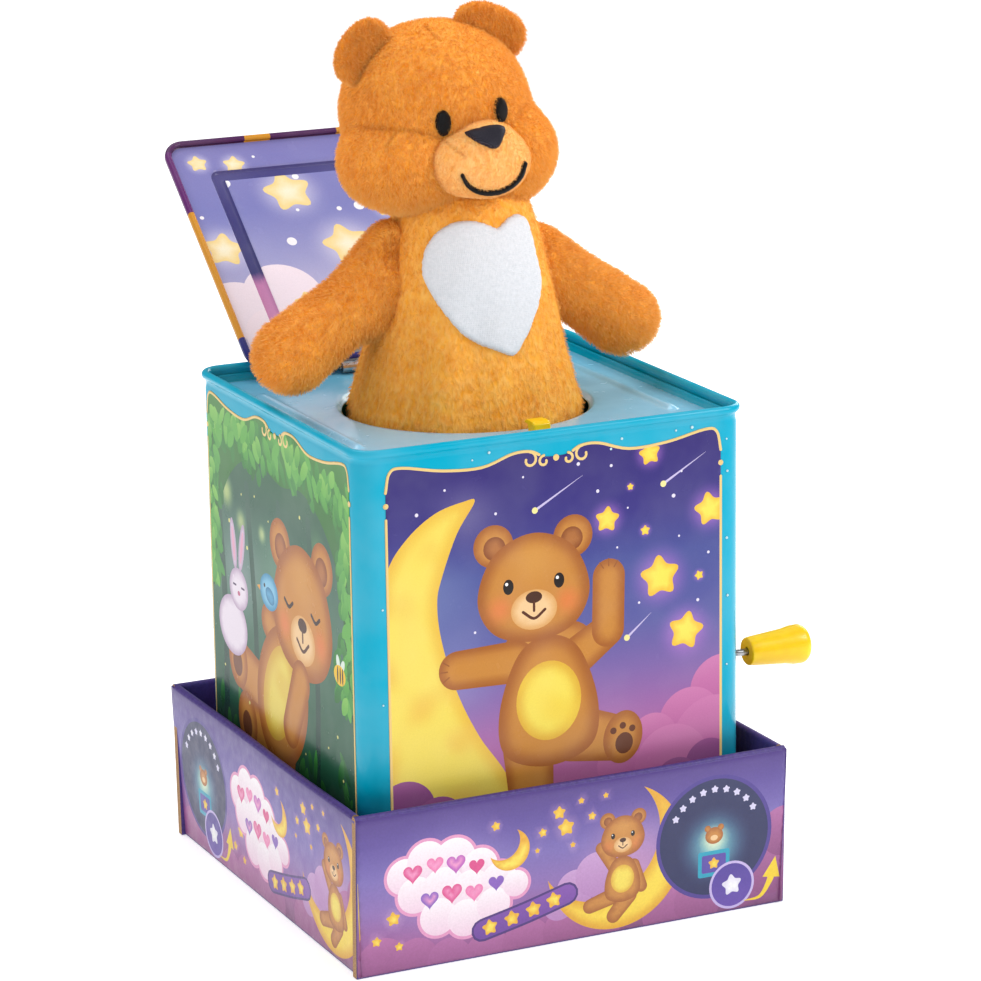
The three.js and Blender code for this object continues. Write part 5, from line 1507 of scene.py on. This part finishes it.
def puff(mesh, seams, cap, pressure=4.0, frames=20):
    """Stuffs the skin: cloth under pressure, held along its seams; no point moves further than the cap."""
    obj = bpy.data.objects.new("puff", mesh.copy())
    bpy.context.scene.collection.objects.link(obj)
    before = mesh_points(mesh)
    hold = np.zeros(len(before))
    for seam in seams:
        hold = np.maximum(hold, (line_distance(before, seam) < 2.2).astype(float))
    group = obj.vertex_groups.new(name="seams")
    for index in np.where(hold > 0)[0]:
        group.add([int(index)], 1.0, "REPLACE")
    cloth = obj.modifiers.new("cloth", "CLOTH")
    settings = cloth.settings
    settings.use_pressure = True
    settings.uniform_pressure_force = pressure
    settings.effector_weights.gravity = 0
    settings.tension_stiffness = settings.compression_stiffness = 12
    settings.shear_stiffness = 5
    settings.bending_stiffness = 0.6
    settings.mass = 0.2
    settings.quality = 6
    settings.vertex_group_mass = "seams"
    cloth.point_cache.frame_start, cloth.point_cache.frame_end = 1, frames
    scene = bpy.context.scene
    for number in range(1, frames + 1):
        scene.frame_set(number)
    swollen = evaluated_mesh(obj)
    moved = mesh_points(swollen) - before
    scene.frame_set(1)
    bpy.data.objects.remove(obj)
    length = np.linalg.norm(moved, axis=1, keepdims=True)
    moved *= np.minimum(1, cap / np.maximum(length, 1e-9))
    set_points(mesh, before + np.nan_to_num(moved))
    return mesh


def refine(mesh, levels=1):
    obj = bpy.data.objects.new("refine", mesh)
    bpy.context.scene.collection.objects.link(obj)
    modifier = obj.modifiers.new("finer", "SUBSURF")
    modifier.levels = modifier.render_levels = levels
    result = evaluated_mesh(obj)
    bpy.data.objects.remove(obj)
    return result


def sew(mesh, seams, depth=1.0, width=1.1):
    """Gives the skin soft lumps, pulls it in along its seams and marks them for the material, which paints shade
    along them.
    """
    points, normals = mesh_points(mesh), mesh_points(mesh, "normal")
    mark = np.zeros(len(points))
    for seam in seams:
        mark = np.maximum(mark, np.exp(-(line_distance(points, seam) / width) ** 2))
    bumps = np.array([noise.noise(point / 11.0) for point in points]) * 0.35
    set_points(mesh, points + normals * (bumps - depth * mark)[:, None])
    attribute = mesh.attributes.new("seam", "FLOAT", "POINT")
    attribute.data.foreach_set("value", mark.astype(np.float32))
    mesh.shade_smooth()
    return mesh


def tree_of(mesh):
    points = mesh_points(mesh)
    return BVHTree.FromPolygons([Vector(p) for p in points],
                                [list(polygon.vertices) for polygon in mesh.polygons])


def carrier(trees, plane, line):
    """Gives a function that carries (x, z) on an upright plane along a line to the nearest of the skins.
    It returns the point and a direction out of the skin there, leaned back against the line."""

    def locate(x, z):
        start = Vector((x, plane, z)) - line * 150
        best = None
        for tree in trees:
            at, normal, _, away = tree.ray_cast(start, line)
            if at is not None and (best is None or away < best[2]):
                best = (at, normal, away)
        if best is None:
            return None
        at, normal, _ = best
        if normal.dot(line) > 0:
            normal = -normal
        return at, (normal - line * 0.5).normalized()
    return locate


def carried(locate, places):
    """The points where a line of (x, z) places lands on the skin."""
    found = [locate(x, z) for x, z in places]
    return np.array([np.array(hit[0]) for hit in found if hit])


def add_pile(piece, strands, length, comb, seed, strand_material=None):
    """Short plush pile that leans along the comb direction, with the length in millimetres."""
    piece.data.materials.append(strand_material or fur_strands)
    piece.modifiers.new("pile", "PARTICLE_SYSTEM")
    system = piece.particle_systems[-1]
    system.seed = seed
    pile = system.settings
    pile.type = "HAIR"
    pile.count = strands // 3
    pile.hair_step = 3
    pile.render_step = 3
    pile.display_step = 3
    pile.emit_from = "FACE"
    pile.use_modifier_stack = True
    pile.child_type = "INTERPOLATED"
    pile.child_percent = 1
    pile.rendered_child_count = 3
    pile.root_radius = 0.08
    pile.tip_radius = 0.03
    pile.radius_scale = MM
    pile.material = len(piece.data.materials)
    # A strand is four times as long as the velocity it is given.
    pile.use_advanced_hair = True
    pile.normal_factor = 0.8 * length * MM / 4
    pile.object_align_factor = tuple(component * length * MM / 4 for component in comb)
    pile.factor_random = 0.45 * length * MM / 4
    return piece


ARM_INNER = 24.6                    # how near to the bear's middle an arm may reach


def arm_skin(sign):
    """A stuffed arm: broad where it is sewn to the body, with a round paw."""
    low, high = box_mm("bear_left_arm" if sign < 0 else "bear_right_arm")
    paw_radius = 13.2
    reach = max(abs(low[0]), abs(high[0])) - (0.5 if sign < 0 else 4.0)
    paw = np.array([sign * (reach - paw_radius), 0, low[2] + paw_radius + 0.8])
    shoulder = np.array([sign * 27.0, 0, 214.0])
    root_depth, root_drop = (9.5, 0.1) if sign < 0 else (3.5, 0.4)
    parts = []
    for share in np.linspace(0, 1, 9):
        middle = shoulder + (paw - shoulder) * share
        swell = 10.8 + 1.9 * share
        root = root_depth * max(0, 1 - 2.4 * share)
        parts.append((middle - (0, 0, root_drop * root), (swell, swell * 0.9, swell + root), 0, 0))
    parts.append((paw, (paw_radius, paw_radius * 0.94, paw_radius * 0.96), 0, 0))
    return blob(parts, 2.2), shoulder, paw


def clear_of_works(skin, side):
    """Shapes an arm's skin so that, folded into the tin, it gives way to the spring and movement."""
    joint = joints[f"{side}_arm_fold"]
    pivot = np.array(joint["pos_m"]) / MM
    turn = np.array(Matrix.Rotation(math.radians(joint["range_deg"][1]), 3,
                                    Vector(joint["axis"]).normalized()))
    points = mesh_points(skin)
    sign = np.sign(pivot[0])
    points[:, 0] = sign * np.maximum(sign * points[:, 0], ARM_INNER)
    folded = (points - pivot) @ turn.T + pivot - (0, 0, POP_TRAVEL)
    spring_radius = box_mm("pop_spring")[1][0] + 0.8
    away = np.hypot(folded[:, 0], folded[:, 1])
    folded[:, :2] *= np.maximum(1, spring_radius / away)[:, None]
    folded[:, 0] = np.minimum(folded[:, 0], box_mm("movement_inner_plate")[0][0] - 0.6)
    set_points(skin, (folded + (0, 0, POP_TRAVEL) - pivot) @ turn + pivot)


def ear_skin(side):
    """A padded half disc, cupped forwards, standing on the head along its straight edge."""
    start, end, lift = EAR_EDGES[side]
    middle = (start + end) / 2
    along = (end - start) / np.linalg.norm(end - start)
    out = np.array([-along[2], 0, along[0]])
    half = np.linalg.norm(end - start) / 2
    parts = []
    for reach, width, thick in ((-1.0, half - 1.6, 3.4), (2.4, half - 1.2, 3.6),
                                (lift - 6.2, half - 2.2, 3.2)):
        centre = middle + out * reach
        lean = -math.degrees(math.atan2(along[2], along[0]))
        parts.append((centre, (width, thick, 6.0), lean, 0))
    skin = blob(parts, 1.5, 5)
    points = mesh_points(skin)
    across = (points - middle) @ along
    height = (points - middle) @ out
    points[:, 1] += 2.6 * (1 - (across / half) ** 2) - 0.018 * height ** 2 - 1.2
    set_points(skin, points)
    return refine(skin), middle, out


EAR_EDGES = {
    "left": (np.array([-40.2, 5.0, 277.2]), np.array([-24.0, 5.0, 298.8]), 10.3),
    "right": (np.array([-2.2, 5.0, 297.4]), np.array([26.6, 5.0, 285.2]), 10.6),
}
HEAD_PARTS = [
    ((-6.5, 6.5, 268.0), (31.8, 30.2, 29.4), 0, 0),
    ((-21.3, -1.0, 252.6), (22.4, 22.6, 17.2), 0, 0),
    ((9.6, -2.0, 253.5), (22.6, 21.8, 18.9), 0, 0),
    ((-5.0, 4.0, 253.0), (34.0, 28.0, 17.5), 0, 0),
]
# Seams and features are given as (x, z) on an upright plane before the face or chest and carried on to the
# fabric along the camera's line of sight to it.
FACE_PLANE = -25.0
FACE_LINE = Vector((0.4166, 0.894, -0.167)).normalized()
CHEST_PLANE = -31.0
CHEST_LINE = Vector((0.413, 0.888, -0.202)).normalized()


def build_bear():
    skull = blob(HEAD_PARTS)
    on_skull = carrier([tree_of(skull)], FACE_PLANE, FACE_LINE)
    left_cheek = carried(on_skull, [(-52, 269.6), (-45.6, 268.8), (-39.7, 268.3), (-33.7, 267.4),
                                    (-27.7, 266.2), (-21.7, 264.3), (-18, 262.8)])
    left_drop = carried(on_skull, [(-33.7, 267.4), (-36.8, 264.6), (-38.8, 261.6)])
    right_cheek = carried(on_skull, [(23.2, 266.1), (19.1, 273), (15.6, 276.1), (10.9, 270.8),
                                     (6.7, 265.1)])
    top_dart = carried(on_skull, [(-24, 301), (-21.6, 298), (-18.6, 295.7)])
    seams = [left_cheek, left_drop, right_cheek, top_dart]
    puff(skull, seams, 1.2)
    skull = refine(skull)
    sew(skull, seams, 0.7, 0.7)
    skull.materials.append(fur_skin)
    head = add_object("bear_head_plush", skull, "bear", ["bear_head"])
    add_pile(head, 150000, 1.5, (0.0, -0.1, -0.5), 1)

    mx, mz = FACE_X + 0.5, (muzzle_low[2] + muzzle_high[2]) / 2
    front = muzzle_low[1]
    parts = [
        ((mx, front + 12.5, mz - 2.0), (17.6, 12.0, 12.0), 0, 0),
        ((mx + 1.0, front + 10.0, mz + 3.5), (11.5, 10.0, 8.5), 0, 0),
        ((mx + 1.0, front + 11.5, mz - 4.5), (14.5, 10.5, 9.5), 0, 0),
    ]
    snout = refine(puff(blob(parts, 2.0, 5), [], 0.5))
    on_snout = carrier([tree_of(snout)], FACE_PLANE, FACE_LINE)
    dart = carried(on_snout, [(-17.0, 261.6), (-13.8, 258.9), (-9.8, 256.2)])
    sew(snout, [dart], 0.5, 0.6)
    snout.materials.append(muzzle_skin)
    muzzle = add_object("bear_muzzle_plush", snout, "bear", ["bear_muzzle"])
    add_pile(muzzle, 26000, 0.7, (0.0, 0.0, -0.4), 2, muzzle_strands)

    for name, sign in (("left", -1), ("right", 1)):
        ear, middle, out = ear_skin(name)
        across = np.cross((0, 1, 0), out)
        edge = [middle + out * (2.0 + 8.5 * math.sin(a)) + across * 11 * math.cos(a) - (0, 2.5, 0)
                for a in np.linspace(0, math.pi, 14)]
        sew(ear, [np.array(edge)], 0.35, 0.6)
        ear.materials.append(fur_skin)
        piece = add_object(f"bear_{name}_ear_plush", ear, "bear", [f"bear_{name}_ear"])
        add_pile(piece, 24000, 1.2, (0.0, -0.15, -0.35), 3 + sign)

        skin, shoulder, paw = arm_skin(sign)
        seam_x = shoulder[0] + sign * 1.6
        shoulder_seam = np.array([(seam_x + sign * 2.5 * math.cos(a), 12.5 * math.sin(a),
                                   shoulder[2] - 3 + 16 * math.cos(a))
                                  for a in np.linspace(0, 2 * math.pi, 24)])
        puff(skin, [shoulder_seam], 1.2)
        skin = refine(skin)
        along_arm = np.array([shoulder + (paw - shoulder) * share + (0, 1.5, 12.0)
                              for share in np.linspace(0, 1.1, 10)])
        sew(skin, [shoulder_seam, along_arm], 0.6, 0.8)
        clear_of_works(skin, name)
        skin.materials.append(fur_skin)
        body = f"{name}_arm"
        piece = add_object(f"bear_{name}_arm_plush", skin, body, [f"bear_{name}_arm"])
        add_pile(piece, 46000, 1.6, (sign * 0.5, 0.0, -0.35), 7 + sign)

    sleeve_tree = build_sleeve()
    build_face(carrier([tree_of(skull), tree_of(snout)], FACE_PLANE, FACE_LINE))
    build_heart(carrier([sleeve_tree], CHEST_PLANE, CHEST_LINE))


SLEEVE_OUTLINE = [(38.6, sleeve_low[2]), (39.6, 120.0), (40.2, 160.0), (40.2, PLATE_TOP + 1),
                  (37.6, PLATE_TOP + 10), (34.6, PLATE_TOP + 20), (31.2, PLATE_TOP + 36),
                  (28.0, PLATE_TOP + 50), (26.2, PLATE_TOP + 58), (24.4, PLATE_TOP + 64),
                  (22.6, PLATE_TOP + 69), (19.0, PLATE_TOP + 74.4)]


def build_sleeve():
    """The bear's body: a fabric sleeve that narrows to the neck, with soft upright folds below the arms."""
    around = 132
    heights = np.concatenate([np.arange(sleeve_low[2], 150, 5.0), np.arange(150, PLATE_TOP + 74.5, 1.6)])
    outline_z = [z for _, z in SLEEVE_OUTLINE]
    outline_r = [r for r, _ in SLEEVE_OUTLINE]
    points = []
    for z in heights:
        radius = np.interp(z, outline_z, outline_r)
        loose = smoothstep((PLATE_TOP + 52 - z) / 40)
        for k in range(around):
            angle = 2 * math.pi * k / around
            fold = 0.55 * math.sin(7 * angle + 1.0 + z / 60) + 0.45 * math.sin(12 * angle + 0.4 - z / 45)
            fold += 0.5 * noise.noise(Vector((3 * math.cos(angle), 3 * math.sin(angle), z / 30)))
            reach = radius + loose * (fold - 0.7) * 1.5
            points.append((reach * math.cos(angle), 0.98 * reach * math.sin(angle), z))
    mesh = make_mesh("bear_sleeve_plush", points, grid_faces(len(heights), around), [fur_skin], 60)
    seams = []
    for sign in (-1, 1):
        line = []
        for z in np.linspace(188, 229, 12):
            radius = np.interp(z, outline_z, outline_r)
            line.append((sign * radius, -2.0 - 2.0 * math.sin((z - 188) / 13), z))
        seams.append(np.array(line))
    sew(mesh, seams, 0.9, 0.9)
    tree = tree_of(mesh)
    sleeve = add_object("bear_sleeve_plush", mesh, "tin", ["bear_sleeve"])
    solidify(sleeve, 1.2)
    add_pile(sleeve, 190000, 1.4, (0.0, 0.0, -0.6), 12)
    shorten_with_bear(sleeve)
    return tree


def applique(name, outline, locate, material, body, height, crown, spacing=0.7, sink=0.5,
             stands_for=()):
    """A stitched patch: the outline is filled with a fine net, laid on a skin and domed towards its middle.
    locate gives a point on the skin and the direction out of it."""
    points = outline.tolist()
    edges = [(i, (i + 1) % len(points)) for i in range(len(points))]
    low, high = outline.min(0), outline.max(0)
    for row, v in enumerate(np.arange(low[1], high[1], spacing)):
        for u in np.arange(low[0] + (spacing / 2 if row % 2 else 0), high[0], spacing):
            points.append((u, v))
    solved = delaunay_2d_cdt([Vector(p) for p in points], edges, [], 0, 1e-6)
    net = np.array([tuple(p) for p in solved[0]])
    faces = np.array(solved[2])
    faces = faces[inside(net[faces].mean(1), outline)]
    used, faces = np.unique(faces, return_inverse=True)
    faces, net = faces.reshape(-1, 3), net[used]
    depth = edge_distance(net, outline)
    hit = locate(*outline.mean(0))
    rise = -sink + (height + sink) * np.sqrt(np.clip(1 - (1 - np.clip(depth / crown, 0, 1)) ** 2, 0, 1))
    placed = []
    for (u, v), lift in zip(net, rise):
        hit = locate(u, v) or hit
        placed.append(np.array(hit[0]) + np.array(hit[1]) * lift)
    mesh = make_mesh(name, placed, faces, [material], 70)
    piece = add_object(name, mesh, body, stands_for)
    solidify(piece, 0.35)
    return piece


def build_face(locate):
    for name, x, z, half in (("left", -17.8, 267.8, 3.05), ("right", 2.9, 270.4, 2.55)):
        outline = ellipse(x, z, half, 4.5, 5, 40)
        applique(f"bear_{name}_eye", outline, locate, black_thread, "bear", 1.9, 1.8, 0.6)
    corners = [(-10.2, 263.9), (-6.6, 264.9), (-1.5, 265.6), (3.1, 265.3), (4.7, 263.7), (4.1, 261.4),
               (2.7, 258.7), (0.6, 257.5), (-3.1, 258.9), (-7.1, 261.1)]
    nose = smooth_line(corners, 6, closed=True)
    applique("bear_nose_stitched", nose, locate, nose_thread, "bear", 1.9, 2.2,
             stands_for=["bear_nose"])
    smile = smooth_line([(-11.1, 249.9), (-9.4, 246.9), (-6.4, 244.7), (-2.3, 243.6), (2.3, 243.7),
                         (6.4, 245.2), (9.7, 248), (11.3, 252)], 6)
    applique("bear_smile", stroke(smile, 1.7), locate, black_thread, "bear", 1.5, 0.8, 0.5)


def build_heart(locate):
    """The white panel in the bear's chest, on an upright plane before it."""
    corners = [(2.7, 188.7), (-2.9, 191.2), (-8.5, 193.6), (-14.6, 197.6), (-20.6, 204.4), (-25.5, 211.5),
               (-28.9, 218), (-29.4, 223.4), (-27.7, 228.8), (-24.1, 233.2), (-18, 236.1), (-12.9, 236.4),
               (-6.8, 235), (-2.3, 232.9), (-0.9, 233.2), (1.9, 235.6), (5.5, 236.9), (9, 234.9),
               (11, 229.6), (12.5, 222.8), (14.3, 214.1), (13.3, 205.7), (10.1, 197.4), (6.4, 191.1),
               (4.6, 189.2)]
    outline = smooth_line(corners, 4, closed=True)
    piece = applique("bear_heart_panel", outline, locate, heart_knit, "tin", 1.5, 1.4, 1.0,
                     0.6, ["bear_heart"])
    shorten_with_bear(piece)


# ---------- Carried-over pieces ----------

def finish_frame_nodes():
    """Gives every CAD piece that stays visible its finish, by its record's material slot."""
    slots = {}
    for part in frame["record"]["subparts"]:
        slots[part.get("node") or part.get("name")] = part.get("material") or part.get("material_slot")
    for name, node in frame["nodes"].items():
        finish = slot_finishes.get(slots.get(name), steel)
        node.data.materials.clear()
        node.data.materials.append(finish)
    for name in ("pop_spring", "light_cable"):
        mesh = frame["nodes"][name].data.copy()
        mesh.shade_smooth()
        piece = add_object(name + "_flexible", mesh, "tin", [name])
        shorten_with_bear(piece)


# ---------- Floor, lights and camera, in metres ----------

def build_stage():
    floor_finish = Finish("pale_floor", Roughness=0.9, Specular_IOR_Level=0.1)
    floor_finish.set(Base_Color=floor_finish.mix(floor_finish.noise(60), "#f4f4f4", "#fafafa"))
    floor_finish.set(Emission_Color=(1, 1, 1, 1), Emission_Strength=0.4)
    mesh = bpy.data.meshes.new("floor")
    size = 6.0
    mesh.from_pydata([(-size, -size, 0), (size, -size, 0), (size, size, 0), (-size, size, 0)], [],
                     [(0, 1, 2, 3)])
    mesh.materials.append(floor_finish.material)
    floor = bpy.data.objects.new("floor", mesh)
    bpy.context.scene.collection.objects.link(floor)

    world = bpy.data.worlds.new("studio")
    world.use_nodes = True
    tree = world.node_tree
    background = tree.nodes["Background"]
    background.inputs["Color"].default_value = (1, 1, 1, 1)
    # The surroundings light the object evenly but show only faintly in its gloss.
    ray = tree.nodes.new("ShaderNodeLightPath")
    strength = tree.nodes.new("ShaderNodeMapRange")
    strength.inputs["To Min"].default_value = 0.68
    strength.inputs["To Max"].default_value = 0.12
    tree.links.new(ray.outputs["Is Glossy Ray"], strength.inputs["Value"])
    bright = tree.nodes.new("ShaderNodeMath")
    bright.operation = "MAXIMUM"
    tree.links.new(strength.outputs[0], bright.inputs[0])
    tree.links.new(ray.outputs["Is Camera Ray"], bright.inputs[1])
    tree.links.new(bright.outputs[0], background.inputs["Strength"])
    bpy.context.scene.world = world

    aim = Vector((0, 0, 0.14))
    for name, place, size, power in (
        ("key", (0.95, -0.85, 1.15), 0.6, 13), ("fill", (-1.35, -0.5, 0.8), 0.9, 3.4),
        ("top", (-0.1, 0.5, 1.5), 1.0, 8), ("rim", (1.1, 0.9, 0.7), 0.7, 6),
    ):
        lamp = bpy.data.lights.new(name, "AREA")
        lamp.size, lamp.energy = size, power
        obj = bpy.data.objects.new(name, lamp)
        obj.location = place
        obj.rotation_euler = (aim - Vector(place)).to_track_quat("-Z", "Y").to_euler()
        bpy.context.scene.collection.objects.link(obj)


def build_camera():
    place = Vector((-0.553186, -1.203053, 0.480131))
    forward = Vector((0.40975082, 0.87680925, -0.25161438)).normalized()
    roll = math.radians(-0.84)
    level_right = forward.cross(Vector((0, 0, 1))).normalized()
    level_up = level_right.cross(forward)
    right = math.cos(roll) * level_right + math.sin(roll) * level_up
    up = -math.sin(roll) * level_right + math.cos(roll) * level_up
    lens = bpy.data.cameras.new("camera")
    lens.sensor_width = 36
    lens.lens = 146.9
    camera = bpy.data.objects.new("camera", lens)
    camera.matrix_world = Matrix((
        (right.x, up.x, -forward.x, place.x), (right.y, up.y, -forward.y, place.y),
        (right.z, up.z, -forward.z, place.z), (0, 0, 0, 1)))
    bpy.context.scene.collection.objects.link(camera)
    bpy.context.scene.camera = camera
    bpy.context.scene.view_settings.view_transform = "Standard"


build_tin()
build_top_plate()
build_lid()
build_crank()
build_latch()
build_tray()
build_bear()
finish_frame_nodes()
build_stage()
build_camera()
